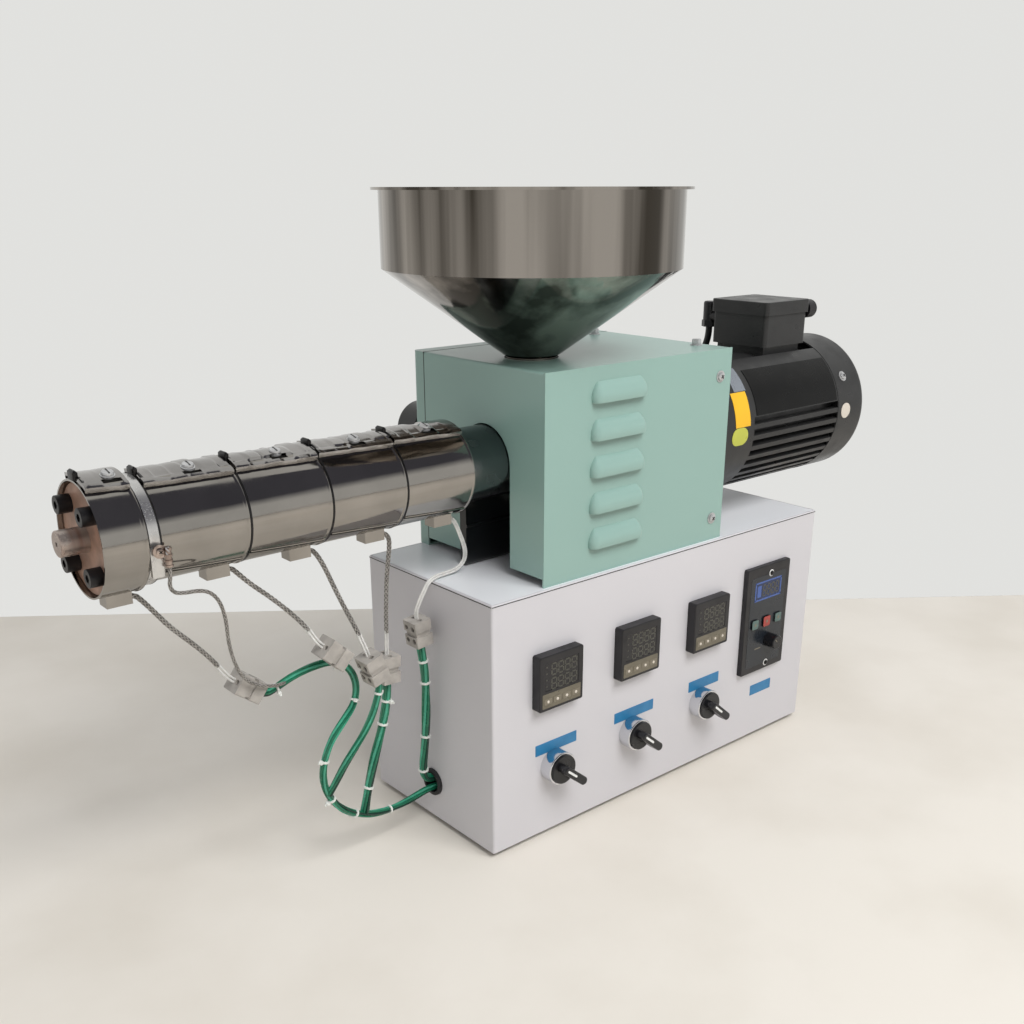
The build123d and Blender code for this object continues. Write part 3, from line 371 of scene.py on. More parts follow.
steelLeadDiameter = 3.6
block = {"half": 11.0, "stub": 6.0}
blockPlaces = {
    "a": ((-379, -20, 187), (0.79, 0, -0.62)),
    "b": ((-317.7, -38, 201.2), (0.72, 0, -0.69)),
    "c": ((-284.3, -38, 180.2), (0.31, 0, -0.95)),
    "d": ((-256, -14, 164), (-0.05, 0, -1)),
    "e": ((-220.2, -8, 183.7), (0.12, 0, -0.99)),
}
leadStarts = {1: -452.5, 2: -383.9, 3: -320.9, 4: -257.9, 5: -194.9}
leadExit = {"y": -16.0, "zs": {1: 271.6, 2: 275, 3: 275, 4: 275, 5: 275},
            "droop": [(0, 0), (4, -0.5), (8, -5)]}
leadRoutes = {
    1: [(-437, -16, 256.5), (-428, -17, 243.5), (-415, -18.3, 229.5), (-402, -19.5, 213.5)],
    2: [(-368, -18, 261), (-355, -23.5, 248.5), (-343.5, -30, 235.5), (-335, -35.5, 223.5)],
    3: [(-308, -18, 259.5), (-303.2, -21.5, 243.5), (-298.5, -27.5, 227), (-294, -34, 212)],
    4: [(-249.8, -15.7, 262), (-251.3, -15.2, 250.5), (-253.2, -15, 236), (-254.3, -14.7, 218),
        (-254.9, -14.3, 199.5)],
    5: [(-182.5, -15, 261.5), (-177.5, -13.5, 251.5), (-173, -11, 242), (-172.5, -8.5, 233),
        (-179, -6.5, 226.8), (-189, -6.2, 225.8), (-199.5, -7.5, 226), (-209.5, -9.5, 224.2),
        (-215.5, -10.2, 216.5), (-219.5, -9.3, 208.5)],
}
probeRoute = [(-436.5, -48.2, 296), (-436.5, -48.2, 290), (-437.8, -47.8, 284), (-435.5, -47, 278.3),
              (-428.5, -46, 276), (-419, -44.5, 275), (-410.5, -43, 272.3), (-404, -41.5, 265.8),
              (-400, -40, 256.5), (-397.8, -38.3, 245), (-397, -36.5, 232), (-394.5, -35.3, 218),
              (-390, -34, 205), (-382.5, -32.8, 195), (-372.5, -31.8, 189), (-363, -29.8, 185.8),
              (-355.5, -26, 183.3), (-349.5, -21.5, 181.5)]
bundleRoutes = {
    "a": [(-357, -20, 178.5), (-344, -20, 183.5), (-327, -20.3, 187), (-309, -20.5, 187),
          (-295.4, -21, 179), (-289.2, -22, 164.3), (-292.5, -23.5, 148.6), (-304.2, -25, 137.7),
          (-316, -25, 125.5), (-322.5, -23.5, 110), (-324, -21, 93.5), (-319.5, -18, 77),
          (-310.5, -15.5, 61.5), (-297, -12.5, 48), (-280, -10, 38), (-260, -7, 32), (-239, -4.5, 30.5),
          (-222, -2.8, 32), (-213, -2.2, 33.25), (-197, -2.2, 33.25)],
    "c": [(-281.5, -37.5, 153), (-286, -36.5, 140), (-293, -35, 127), (-301.5, -32.5, 114.5),
          (-309, -29, 101.5), (-314, -24.5, 88), (-318, -19, 75.5)],
    "d": [(-258, -14, 134), (-260.5, -13, 120), (-264.5, -12, 105), (-269, -11, 90), (-273, -10, 74),
          (-277, -9.3, 58), (-281, -9.6, 40.5)],
    "e": [(-216, -8, 154), (-214.3, -7.3, 138), (-213.7, -6.3, 121), (-213.3, -5.2, 103),
          (-213.8, -4.2, 86), (-215, -3.2, 70), (-216.2, -2.6, 57), (-215.3, -2.2, 48),
          (-210.5, -2.2, 42.4), (-197, -2.2, 42.4)],
}
bundles = {
    "a": {"diameter": 6.5, "length": 334, "ties": [(14.8, 200), (70.2, 250), (108, 150), (160.3, 190),
                                                   (201.6, 200), (237.1, 250), (276, 250)]},
    "c": {"diameter": 6.0, "length": 106, "ties": [(11.8, 200)]},
    "d": {"diameter": 8.0, "length": 116, "ties": [(17.4, 300), (37.5, 190), (92.6, 170)]},
    "e": {"diameter": 8.0, "length": 145, "ties": [(16.5, 190), (37, 160), (87.3, 160), (119.6, 150)]},
}
motorCableRoute = [(176, 40, 389), (176, 40, 381), (176.2, 43.5, 370), (176, 49.5, 358.5),
                   (175.6, 56.5, 346), (175.2, 62.5, 332), (174.6, 66.5, 315), (173.8, 68.3, 295), (172.8, 69, 273),
                   (171.3, 68.7, 255), (170, 68, 238.5), (170, 68, 214.5)]


def routeCurve(name, points):
    curve = bpy.data.curves.new(name, "CURVE")
    curve.dimensions = "3D"
    curve.resolution_u = 10
    spline = curve.splines.new("NURBS")
    spline.points.add(len(points) - 1)
    for control, point in zip(spline.points, points):
        control.co = (point[0] * mm, point[1] * mm, point[2] * mm, 1)
    spline.order_u = 3
    spline.use_endpoint_u = True
    piece = bpy.data.objects.new(name, curve)
    scene.collection.objects.link(piece)
    return piece


def readLine(points):
    # The smooth line of a route, as points in metres
    guide = routeCurve("guide", points)
    bpy.context.view_layer.update()
    line = bpy.data.meshes.new_from_object(guide)
    places = [vertex.co.copy() for vertex in line.vertices]
    bpy.data.objects.remove(guide)
    return places


def besideLine(places):
    # For each point of a line: the point, its tangent, two directions across it and its distance along
    rows = []
    side = None
    travelled = 0.0
    for index, place in enumerate(places):
        before = places[max(index - 1, 0)]
        after = places[min(index + 1, len(places) - 1)]
        tangent = (after - before).normalized()
        if side is None:
            side = tangent.orthogonal()
        else:
            travelled += (place - places[index - 1]).length
        side = (side - tangent * side.dot(tangent)).normalized()
        rows.append((place, tangent, side, tangent.cross(side), travelled / mm))
    return rows


def addTube(shape, places, radius, sides=8, material=0):
    rings = []
    for place, _, side, up, _ in besideLine(places):
        rings.append([shape.verts.new(place + (side * math.cos(2 * math.pi * i / sides)
                                               + up * math.sin(2 * math.pi * i / sides)) * radius * mm)
                      for i in range(sides)])
    faces = [shape.faces.new(rings[0]), shape.faces.new(rings[-1])]
    for lower, upper in zip(rings, rings[1:]):
        faces += [shape.faces.new((lower[i], lower[(i + 1) % sides], upper[(i + 1) % sides], upper[i]))
                  for i in range(sides)]
    for face in faces:
        face.material_index = material


def blockEnd(letter, side, further=0.0):
    centre, direction = blockPlaces[letter]
    return tuple(Vector(centre) + Vector(direction).normalized() * side * (block["half"] + further))


def strandsRound(shape, rows, wires, reach, twist, sides=8):
    # wires is a list of (angle, share of reach, radius, material); reach gives the spread along the line
    for angle, share, radius, material in wires:
        places = []
        for place, _, side, up, along in rows:
            turn = math.radians(angle + twist * along)
            spread = share * reach(along) * mm
            places.append(place + (side * math.cos(turn) + up * math.sin(turn)) * spread)
        addTube(shape, places, radius, sides, material)


tie = {"inset": 0.4, "edge": 0.4, "crown": 0.5, "half": 0.8, "head": (3.2, 2.8, 2.3),
       "tail": (0.9, 1.8, 1.6)}


def makeTies(name, rows, ties, radius):
    inside, edge, half = radius - tie["inset"], radius + tie["edge"], tie["half"]
    shape = bmesh.new()
    for along, headAngle in ties:
        place, tangent, side, up, _ = min(rows, key=lambda row: abs(row[4] - along))
        matrix = Matrix((side, up, tangent)).transposed().to_4x4()
        matrix.translation = place
        addTurned(shape, matrix, [(inside, -half), (edge, -half), (radius + tie["crown"], 0), (edge, half),
                                  (inside, half)], 20)
        head = matrix @ Matrix.Rotation(math.radians(headAngle), 4, "Z")
        head = head @ axesAt((radius + 0.3, 0, 0), (1, 0, 0))
        addSlab(shape, head, *tie["head"], 0.4, 0, 0.4)
        addSlab(shape, moved(head, z=tie["head"][2]), *tie["tail"], 0.2)
    return addPiece(name, shape, ["tieWhite"])


def makeBundle(letter):
    facts = bundles[letter]
    diameter = facts["diameter"]
    route = [blockEnd(letter, 1), blockEnd(letter, 1, block["stub"])] + bundleRoutes[letter]
    rows = besideLine(readLine(route))
    wireRadius = diameter / 6.4
    ties = facts["ties"]

    def reach(along):
        nearest = min(abs(along - place) for place, _ in ties)
        return wireRadius * (1.75 + 0.35 * min(nearest / 22, 1.0))

    # The pale and dark wires are lit and shaded copies of the green: painted highlight and painted shade round the
    # bundle.
    wires = [(0, 0, wireRadius, 0)]
    for number in range(6):
        wires.append((number * 60, 1.0, wireRadius, (0, 1, 0, 2, 0, 1)[number]))
    shape = bmesh.new()
    strandsRound(shape, rows, wires, reach, 1.1)
    name = f"wireBundle{letter.upper()}"
    bundle = addPiece(name, shape, ["wireGreen", "wirePale", "wireDark"])
    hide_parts(f"wire_bundle_{letter}")
    tieSet = makeTies(f"cableTies{letter.upper()}", rows, ties, diameter / 2)


leadBare = 17.0        # the two inner wires show for this much before a block


def leadRoute(number, letter):
    start = leadStarts[number]
    route = [(start + right, leadExit["y"], leadExit["zs"][number] + up) for right, up in leadExit["droop"]]
    return route + leadRoutes[number] + [blockEnd(letter, -1, block["stub"]), blockEnd(letter, -1)]


sleeve = {"core": 0.88, "strand": 0.2, "reach": 0.84, "twist": 26}    # shares of the radius, degrees per mm


def addSleeve(shape, rows, radius):
    # Braided sleeve: a core and two sets of thin strands that cross
    # The core takes sleeveDark, a darker copy of the braid's steel: painted shade showing between the strands.
    addTube(shape, [row[0] for row in rows], radius * sleeve["core"], 8, 1)
    for direction in (1, -1):
        for strand in range(4):
            strandsRound(shape, rows, [(strand * 90, 1.0, radius * sleeve["strand"], 0)],
                         lambda along: radius * sleeve["reach"], direction * sleeve["twist"], 4)


def makeLead(number, letter):
    rows = besideLine(readLine(leadRoute(number, letter)))
    length = rows[-1][4]
    shape = bmesh.new()
    radius = steelLeadDiameter / 2
    pair = [(40, 1.0, radius * 0.48, 2), (220, 1.0, radius * 0.48, 2)]
    if number == 5:
        strandsRound(shape, rows, [(40, 1.0, radius * 0.52, 2), (220, 1.0, radius * 0.52, 2)],
                     lambda along: radius * 0.5, 0.8)
    else:
        covered = [row for row in rows if row[4] < length - leadBare]
        bare = [row for row in rows if row[4] > length - leadBare - 4]
        addSleeve(shape, covered, radius)
        strandsRound(shape, bare, pair, lambda along: radius * 0.62, 0, 14)
    name = f"heaterLead{number}"
    lead = addPiece(name, shape, ["sleeveSteel", "sleeveDark", "glassSleeve"])
    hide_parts(f"heater_lead_{number}")


def makeProbeLead():
    rows = besideLine(readLine(probeRoute))
    shape = bmesh.new()
    addSleeve(shape, rows, 1.3)
    lead = addPiece("probeLead", shape, ["sleeveSteel", "sleeveDark"])
    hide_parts("thermocouple_lead")


def makeMotorCable():
    rows = besideLine(readLine(motorCableRoute))
    shape = bmesh.new()
    addTube(shape, [row[0] for row in rows], 3.25, 16)
    cable = addPiece("motorCable", shape, ["cableBlack"])
    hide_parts("motor_cable")


def makeWiring():
    for number, letter in enumerate(blockPlaces, start=1):
        makeLead(number, letter)
    for letter in bundles:
        makeBundle(letter)
    makeProbeLead()
    makeMotorCable()


makeWiring()
print("wiring laid")

# Control panel

panelFace = -83.0
controller = {"xs": (-139.7, -46.7, 46.3), "z": 146.5, "face": -92.0, "glass": (38.4, 25.4, 5.6),
              "strip": (42.0, 12.6, -15.0), "digitRows": ((11.4, 9.6), (-1.2, 9.6)), "digitPitch": 7.3,
              "digitWidth": 5.2, "keys": (-15.3, -5.1, 5.1, 15.3), "keyRise": -15.5, "key": (8.4, 5.2, 0.5),
              "lampLeft": -16.4, "lampTop": 14.5, "lampPitch": 5.6}
segmentWidth = 1.4
segmentEnds = {"top": ((0, 1), (1, 1)), "middle": ((0, 0.5), (1, 0.5)), "low": ((0, 0), (1, 0)),
               "upperLeft": ((0, 0.5), (0, 1)), "upperRight": ((1, 0.5), (1, 1)),
               "lowerLeft": ((0, 0), (0, 0.5)), "lowerRight": ((1, 0), (1, 0.5))}


def addDigit(shape, matrix, centreX, centreZ, width, height, material):
    # Seven unlit segments
    for start, end in segmentEnds.values():
        x = centreX + ((start[0] + end[0]) / 2 - 0.5) * width
        z = centreZ + ((start[1] + end[1]) / 2 - 0.5) * height
        across = start[1] == end[1]
        long = (width if across else height / 2) - 1.1    # leaves a gap at the corners
        place = moved(matrix, x, z)
        addSlab(shape, place, long if across else segmentWidth, segmentWidth if across else long, 0.12, 0,
                material)


def makeControllerFace(number, x):
    shape = bmesh.new()
    front = axesAt((x, controller["face"], controller["z"]), (0, -1, 0))
    width, height, rise = controller["glass"]
    glass = moved(front, 0, rise, -0.7)
    addSlab(shape, glass, width - 1.6, height - 1.6, 0.5, 0.6, 0, 0.15)
    for rowZ, tall in controller["digitRows"]:
        for place in range(4):
            addDigit(shape, moved(front, z=-0.22), (place - 1.5) * controller["digitPitch"] + 2.6, rowZ,
                     controller["digitWidth"], tall, 1)
    for mark in range(4):
        rise = controller["lampTop"] - mark * controller["lampPitch"]
        addSlab(shape, moved(front, controller["lampLeft"], rise, -0.22), 1.6, 1.1, 0.12, 0.2, 1)
    width, height, rise = controller["strip"]
    addSlab(shape, moved(front, 0, rise, -0.1), width, height, 0.35, 0.8, 2, 0.12)
    for keyX in controller["keys"]:
        key = moved(front, keyX, controller["keyRise"], 0.2)
        addSlab(shape, key, *controller["key"], 1.0, 3, 0.2)
        addTurned(shape, moved(key, z=0.4), [(1.3, 0), (1.2, 0.4), (0.7, 0.6), (0, 0.65)], 14, 4)
    name = f"controllerFace{number}"
    addPiece(name, shape, ["displayGlass", "digitGrey", "keyStrip", "keyPale", "dotPale"])


speedPanel = {"x": 132.0, "z": 129.5, "face": -88.0, "screen": (34.6, 22.6, 31.0),
              "frame": (38.0, 17.5, 29.6), "buttonRise": -3.0, "buttonPitch": 17.5, "button": 9.4,
              "redButton": 10.4, "buttonDepth": 1.7, "rim": 1.5, "tallBar": (-13.6, 5.4, 11.5), "screws": ((3.0, 45.1), (5.0, -47.8))}


def makeSpeedFace():
    shape = bmesh.new()
    front = axesAt((speedPanel["x"], speedPanel["face"], speedPanel["z"]), (0, -1, 0))

    addSlab(shape, moved(front, 0, -1.5), 52, 92, 0.18, 2.0, 0, 0.05)
    width, tall, rise = speedPanel["screen"]
    addSlab(shape, moved(front, 0, rise, -0.75), width, tall, 0.5, 0.8, 1, 0.15)
    wide, high, frameRise = speedPanel["frame"]
    addSlab(shape, moved(front, 0, frameRise, 0.1), wide, high, 0.1, 0.5, 1, 0.03)
    rim = speedPanel["rim"]
    for x, z, along, upward in ((0, high / 2, wide + rim, rim), (0, -high / 2, wide + rim, rim),
                                (wide / 2, 0, rim, high), (-wide / 2, 0, rim, high)):
        addSlab(shape, moved(front, x, frameRise + z, 0.16), along, upward, 0.12, 0, 2)
    barX, barWide, barTall = speedPanel["tallBar"]
    addSlab(shape, moved(front, barX, frameRise, 0.2), barWide, barTall, 0.12, 0.5, 2)
    for place in range(4):
        addDigit(shape, moved(front, 0, 0, 0.2), -6.0 + place * 6.4, frameRise, 4.4, 10.5, 3)
    for side, finish in ((-1, 5), (0, 4), (1, 5)):
        across = speedPanel["button"] if side else speedPanel["redButton"]
        button = moved(front, side * speedPanel["buttonPitch"], speedPanel["buttonRise"], 0.2)
        addSlab(shape, button, across, across, speedPanel["buttonDepth"], 1.6, finish, 0.4)
        addSlab(shape, moved(button, z=1.68), 2.6, 2.6, 0.12, 0.4, 6)
    addSlab(shape, moved(front, -9.5, -29.5, 0.15), 9, 1.1, 0.12, 0.3, 6)
    for x, z in speedPanel["screws"]:
        addTurned(shape, moved(front, x, z, 0.1), [(3.4, 0), (3.4, 0.25), (2.4, 0.32)], 24, 7)
        addPanScrew(shape, moved(front, x, z, 0.3), 2.4, 8, 9)
    addPiece("speedFace", shape,
             ["panelSlate", "displayBlue", "markBlue", "digitGrey", "buttonRed", "buttonGrey", "keyPale",
              "pointerWhite", "clampBlack", "baseBlack"])


def makeKnobMark():
    low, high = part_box("speed_knob")
    middle = (low + high) / 2 / mm
    shape = bmesh.new()
    addSlab(shape, axesAt((middle.x - 2.2, low.y / mm, middle.z + 2.2), (0, -1, 0), (-1, 0, 1)),
            0.8, 4.0, 0.15, 0.3)
    addPiece("knobMark", shape, ["keyPale"], body="knob")


switchParts = {"xs": (-139.7, -46.7, 46.3), "z": 65.5, "leverFace": -106.5, "angle": -40.0,
               "mark": (-6.0, 7.0, 1.9)}


def makeSwitchMark(number, x):
    start, end, width = switchParts["mark"]
    angle = math.radians(switchParts["angle"])
    along = Vector((math.cos(angle), 0, math.sin(angle)))
    middle = Vector((x, switchParts["leverFace"], switchParts["z"])) + along * (start + end) / 2
    shape = bmesh.new()
    addSlab(shape, axesAt(middle, (0, -1, 0), along), width, end - start, 0.25, 0.9, 0, 0.08)
    name = f"switchPointer{number}"
    addPiece(name, shape, ["pointerWhite"], body=f"switch_{number}")


labels = [(-160, -113.6, 78.5, 88.5), (-68, -18.5, 78.5, 88.5), (29.5, 72, 79, 89.4), (123, 155, 47.4, 58)]


def makeLabels():
    for number, (left, right, low, high) in enumerate(labels, start=1):
        shape = bmesh.new()
        front = axesAt(((left + right) / 2, panelFace, (low + high) / 2), (0, -1, 0))
        addSlab(shape, front, right - left, high - low, 0.25, 0.5, 0, 0.08)
        addPiece(f"blueLabel{number}", shape, ["labelBlue"])


joint = {"width": 0.7, "coverWidth": 0.8, "rise": 0.12}


def makeTopSeam():
    # The dark joints: under the top plate along the front and the left end, and beside the back cover
    low, high = (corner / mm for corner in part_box("cabinet_shell"))
    level = high.z - 1.6
    shape = bmesh.new()
    width, coverWidth, rise = joint["width"], joint["coverWidth"], joint["rise"]
    middle = (low + high) / 2
    addSlab(shape, axesAt((middle.x, low.y, level), (0, -1, 0)), high.x - low.x - 1, width, rise)
    addSlab(shape, axesAt((low.x, middle.y, level), (-1, 0, 0)), high.y - low.y - 1, width, rise)
    low, high = (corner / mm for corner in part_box("housing_cover"))
    middle, seamY = (low + high) / 2, high.y - 0.3
    addSlab(shape, axesAt((low.x, seamY, middle.z), (-1, 0, 0)), coverWidth, high.z - low.z, rise)
    addSlab(shape, axesAt((middle.x, seamY, high.z), (0, 0, 1), (0, 1, 0)), high.x - low.x, coverWidth, rise)
    addPiece("topSeam", shape, ["baseBlack"])


makeTopSeam()
for number, x in enumerate(controller["xs"], start=1):
    makeControllerFace(number, x)
    makeSwitchMark(number, x)
makeSpeedFace()
makeKnobMark()
makeLabels()
print("control panel dressed")

# Housing screws and bolts

coverScrews = {"x": 51.2, "zs": (367, 242.4), "face": -79.0, "radius": 3.6}
topBolts = {"places": ((39.7, 62.3), (52.4, -49.9)), "z": 390.0, "acrossFlats": 7.0, "height": 4.6}


def makeHousingFasteners():
    shape = bmesh.new()
    for z in coverScrews["zs"]:
        front = axesAt((coverScrews["x"], coverScrews["face"], z), (0, -1, 0))
        addTurned(shape, front, [(5.0, 0), (5.0, 0.7), (2.5, 0.75)], 28)
        addPanScrew(shape, moved(front, z=0.6), coverScrews["radius"])
    for x, y in topBolts["places"]:
        up = axesAt((x, y, topBolts["z"]), (0, 0, 1), (0, 1, 0))
        addTurned(shape, up, [(5.2, 0), (5.2, 0.8), (3.0, 0.85)], 28)
        addHexHead(shape, moved(up, z=0.8), topBolts["acrossFlats"], topBolts["height"])
    addPiece("housingFasteners", shape, ["zincBright", "baseBlack"])


makeHousingFasteners()
print("housing fastened")

# Band heaters: wrinkled laps, screws and clamp ears

barrelLine = {"y": -8.0, "z": 312.0}
bands = {"starts": (-475.5, -438.4, -375.4, -312.4, -249.4), "lengths": (28.5, 62.4, 62.4, 62.4, 62.4),
         "radii": (38.4, 35.0, 35.0, 35.0, 35.0), "screwShares": (0.667, 0.555, 0.555, 0.555, 0.555),
         "lap": 2.5, "hem": 3.1, "screwAngle": 14.0, "window": (6.2, 19.8, 26.4), "facet": 11.0,
         "facetShare": 0.8, "lean": 2.6, "lapStart": -17, "lapEnd": 29.0, "lapColumn": 0.9, "lapRows": 28}


def roundBarrel(x, radius, degrees):
    # A point about the barrel; the angle runs from straight up towards the front
    angle = math.radians(degrees)
    return Vector((x, barrelLine["y"] - radius * math.sin(angle),
                   barrelLine["z"] + radius * math.cos(angle)))


def outFrom(degrees):
    return roundBarrel(0, 1, degrees) - roundBarrel(0, 0, degrees)


def lean(*cell):
    # A fixed lean for each hand-hammered facet, from -1 to 1
    mixed = sum(step * share for step, share in zip(cell, (12.99, 78.23, 37.72)))
    return 2 * ((math.sin(mixed) * 437.58) % 1) - 1


def facetLift(x, across, number):
    # Each facet is tilted about its own middle; the steps between them are short
    column, row = x / bands["facet"], across / bands["facetShare"]
    inColumn, inRow = column % 1, row % 1
    tilt = lean(math.floor(column), math.floor(row), number)
    roll = lean(math.floor(row), math.floor(column), number + 7)
    fade = min(1.0, (1 - inColumn) / 0.12, inColumn / 0.12)
    return fade * (bands["lean"] * tilt * (inRow - 0.4) + 0.5 * roll * (inColumn - 0.5))


def lapRadius(x, across, angle, number):
    radius = bands["radii"][number - 1]
    lift = 0.9 + facetLift(x, across, number)
    lift += 0.5 * math.exp(-((across - 0.93) / 0.05) ** 2)
    floor = bands["hem"] if angle > 21.5 else bands["lap"]
    return radius + max(bands["lap"] + lift, floor)


def makeLap(number):
    # The raised, hand-folded lap along a band's top with its clamp screw, slot and black ear
    start, length, radius, share = (bands[key][number - 1] for key in
                                    ("starts", "lengths", "radii", "screwShares"))
    screwX = start + length * share
    reach, slotLow, slotHigh = bands["window"]
    shape = bmesh.new()
    columns, rowsUp, first = round(length / bands["lapColumn"]), bands["lapRows"], bands["lapStart"]
    top = []
    for column in range(columns + 1):
        x = start + 0.8 + (length - 1.6) * column / columns
        edge = bands["lapEnd"] + 3.2 * column / columns
        edge += 0.8 * noise.noise(Vector((x * 0.08, number * 3.1, 0)))
        line = [shape.verts.new(roundBarrel(x, radius + 0.2, first - 0.5) * mm)]
        for row in range(rowsUp + 1):
            across = row / rowsUp
            angle = first + (edge - first) * across
            line.append(shape.verts.new(roundBarrel(x, lapRadius(x, across, angle, number), angle) * mm))
        line.append(shape.verts.new(roundBarrel(x, radius + 0.2, edge + 1.1) * mm))
        top.append((x, line))
    for (x, line), (nextX, nextLine) in zip(top, top[1:]):
        for row in range(len(line) - 1):
            angle = first + 46.6 * (row - 0.5) / rowsUp
            if abs((x + nextX) / 2 - screwX) < reach and slotLow < angle < slotHigh:
                continue
            shape.faces.new((line[row], nextLine[row], nextLine[row + 1], line[row + 1]))
    for x, line in (top[0], top[-1]):
        under = [shape.verts.new(vertex.co - (vertex.co - roundBarrel(x, 0, 0) * mm).normalized()
                                 * bands["lap"] * 0.9 * mm) for vertex in line[1:-1]]
        for row in range(len(under) - 1):
            shape.faces.new((line[row + 1], line[row + 2], under[row + 1], under[row]))
    seat = axesAt(roundBarrel(screwX, radius + bands["lap"] - 0.2, bands["screwAngle"]),
                  outFrom(bands["screwAngle"]), (1, 0, 0))
    addTurned(shape, seat, [(4.6, 0), (4.7, 1.3), (3.9, 1.5), (4.0, 2.6), (3.6, 3.4), (2.2, 3.7), (0, 3.8)],
              22, 1)
    addSlab(shape, moved(seat, z=3.6), 6.4, 0.9, 0.3, 0, 2)
    middle = (slotLow + slotHigh) / 2
    slotBed = axesAt(roundBarrel(screwX, radius - 0.3, middle), outFrom(middle), (1, 0, 0))
    addSlab(shape, slotBed, 4.4, 12.6, 1.9, 0.4, 2)
    ear = axesAt(roundBarrel(start + 1.2, radius + 0.2, 1), (0, 0, 1), (1, 0, 0))
    addSlab(shape, ear, 10.5, 3.4, 6.2, 1.2, 2, 1.2)
    tail = axesAt(roundBarrel(start + 2.6, radius + 0.1, 15), outFrom(15), (1, 0, 0))
    addSlab(shape, tail, 9.0, 2.0, 3.2, 0.6, 2, 0.5)
    name = f"bandLap{number}"
    addPiece(name, shape, ["lapStainless", "zincBright", "clampBlack"])


def addRing(shape, x, profile, material):
    line = axesAt((x, barrelLine["y"], barrelLine["z"]), (1, 0, 0))
    addTurned(shape, line, profile, 96, material, False)


def addWire(shape, x, radius, places, thick, material):
    # A thin wire or fold that follows a band's surface: places are (distance along, degrees)
    line = [roundBarrel(x + along, radius, degrees) * mm for along, degrees in places]
    addTube(shape, line, thick, 6, material)


def makeSeams():
    # A rolled bright lip at each band's right end, the dark gap beside it as a black ring of painted shade, and the
    # fold below with painted shade under it
    shape = bmesh.new()
    for start, length, radius in zip(bands["starts"], bands["lengths"], bands["radii"]):
        addRing(shape, start + length, [(radius - 0.2, -3.0), (radius + 0.45, -2.2), (radius + 0.7, -1.3),
                                        (radius + 0.5, -0.5), (radius - 0.3, -0.1)], 0)
        if length == max(bands["lengths"]):
            # A black ring at each long band's left end: painted shade in the gap beside the lip.
            addRing(shape, start, [(radius - 0.5, -0.5), (radius + 0.25, -0.3), (radius + 0.3, 1.0),
                                   (radius - 0.2, 1.3)], 1)
            fold = [(1.5 + 11.8 * step, 129 + 2 * step) for step in range(6)]
            addWire(shape, start, radius + 0.1, fold, 0.7, 0)
            # A black tube 2.2 degrees below each fold: painted shade under it.
            shade = [(along, degrees + 2.2) for along, degrees in fold]
            addWire(shape, start, radius + 0.3, shade, 0.55, 1)
    # Two black rings in the gap between bands 1 and 2: painted shade in the gap.
    addRing(shape, -446.9, [(36.0, -0.2), (36.9, 0), (36.9, 1.2), (36.0, 1.4)], 1)
    addRing(shape, -438.6, [(35.6, -0.4), (36.6, -0.3), (36.4, 0.4), (35.4, 1.4), (34.8, 1.5)], 1)
    addPiece("bandSeams", shape, ["bandStainless", "clampBlack"])


def makeProbeFitting():
    # The thermocouple's ring terminal, its screw and the twisted bright wires in the crimp
    shape = bmesh.new()
    seat = axesAt((-441.6, -47.8, 307), (0, -1, 0))
    addTurned(shape, seat, [(4.3, 0), (4.4, 0.7), (3.0, 0.9)], 24, 1)
    addPanScrew(shape, moved(seat, z=0.7), 2.6, 1, 2)
    for level in (297, 300.4, 304, 308):
        addTurned(shape, axesAt((-436.5, -48.2, level), (0, 0, 1), (0, 1, 0)),
                  [(2.1, -0.9), (2.7, -0.6), (2.7, 0.6), (2.1, 0.9)], 16, 1)
    for turn in (0, 180):
        places = []
        for step in range(17):
            angle = math.radians(turn + 24 * step)
            places.append(Vector((-437.6 + 0.06 * step + 0.9 * math.cos(angle), -50.4 + 0.12 * step
                                  + 0.8 * math.sin(angle), 309.5 - 0.5 * step)) * mm)
        addTube(shape, places, 0.5, 6, 0)
    addPiece("probeFitting", shape, ["zincBright", "terminalBrass", "clampBlack"])


for number in range(1, 6):
    makeLap(number)
makeSeams()
makeProbeFitting()
print("band heaters dressed")

# Motor: bare plate, stickers and screws

motor = {"y": -8.0, "z": 312.0, "radius": 66.0, "fanRadius": 66.3, "screws": (-60.5, 60.5), "screwX": 253.1,
         "baffle": 276.0}


def makeWrapped(name, xs, degrees, radius, finish, thick=0.35, corner=0.0):
    # A thin patch bent round the motor; angles run from straight up towards the front
    shape = bmesh.new()
    width = xs[1] - xs[0]
    tall = math.radians(degrees[1] - degrees[0]) * radius
    columns, rowsUp = 20, 20
    layers = []
    for lift in (0.0, thick):
        grid = []
        for column in range(columns + 1):
            line = []
            for row in range(rowsUp + 1):
                u = (column / columns - 0.5) * width
                v = (row / rowsUp - 0.5) * tall
                if corner:      # squares the grid onto a rounded outline
                    reachU, reachV = width / 2 - corner, tall / 2 - corner
                    du, dv = abs(u) - reachU, abs(v) - reachV
                    if du > 0 and dv > 0:
                        long = max(du, dv) / math.hypot(du, dv)
                        u = math.copysign(reachU + du * long, u)
                        v = math.copysign(reachV + dv * long, v)
                angle = math.radians((degrees[0] + degrees[1]) / 2) + v / radius
                line.append(shape.verts.new(Vector(((xs[0] + xs[1]) / 2 + u,
                                                    motor["y"] - (radius + lift) * math.sin(angle),
                                                    motor["z"] + (radius + lift) * math.cos(angle))) * mm))
            grid.append(line)
        layers.append(grid)
    low, high = layers
    for column in range(columns):
        for row in range(rowsUp):
            shape.faces.new((high[column][row], high[column + 1][row], high[column + 1][row + 1],
                             high[column][row + 1]))
    for column in range(columns):
        for row in (0, rowsUp):
            shape.faces.new((low[column][row], low[column + 1][row], high[column + 1][row],
                             high[column][row]))
    for row in range(rowsUp):
        for column in (0, columns):
            shape.faces.new((low[column][row], low[column][row + 1], high[column][row + 1],
                             high[column][row]))
    loose = [vertex for vertex in shape.verts if not vertex.link_faces]
    bmesh.ops.delete(shape, geom=loose, context="VERTS")
    return addPiece(name, shape, [finish])


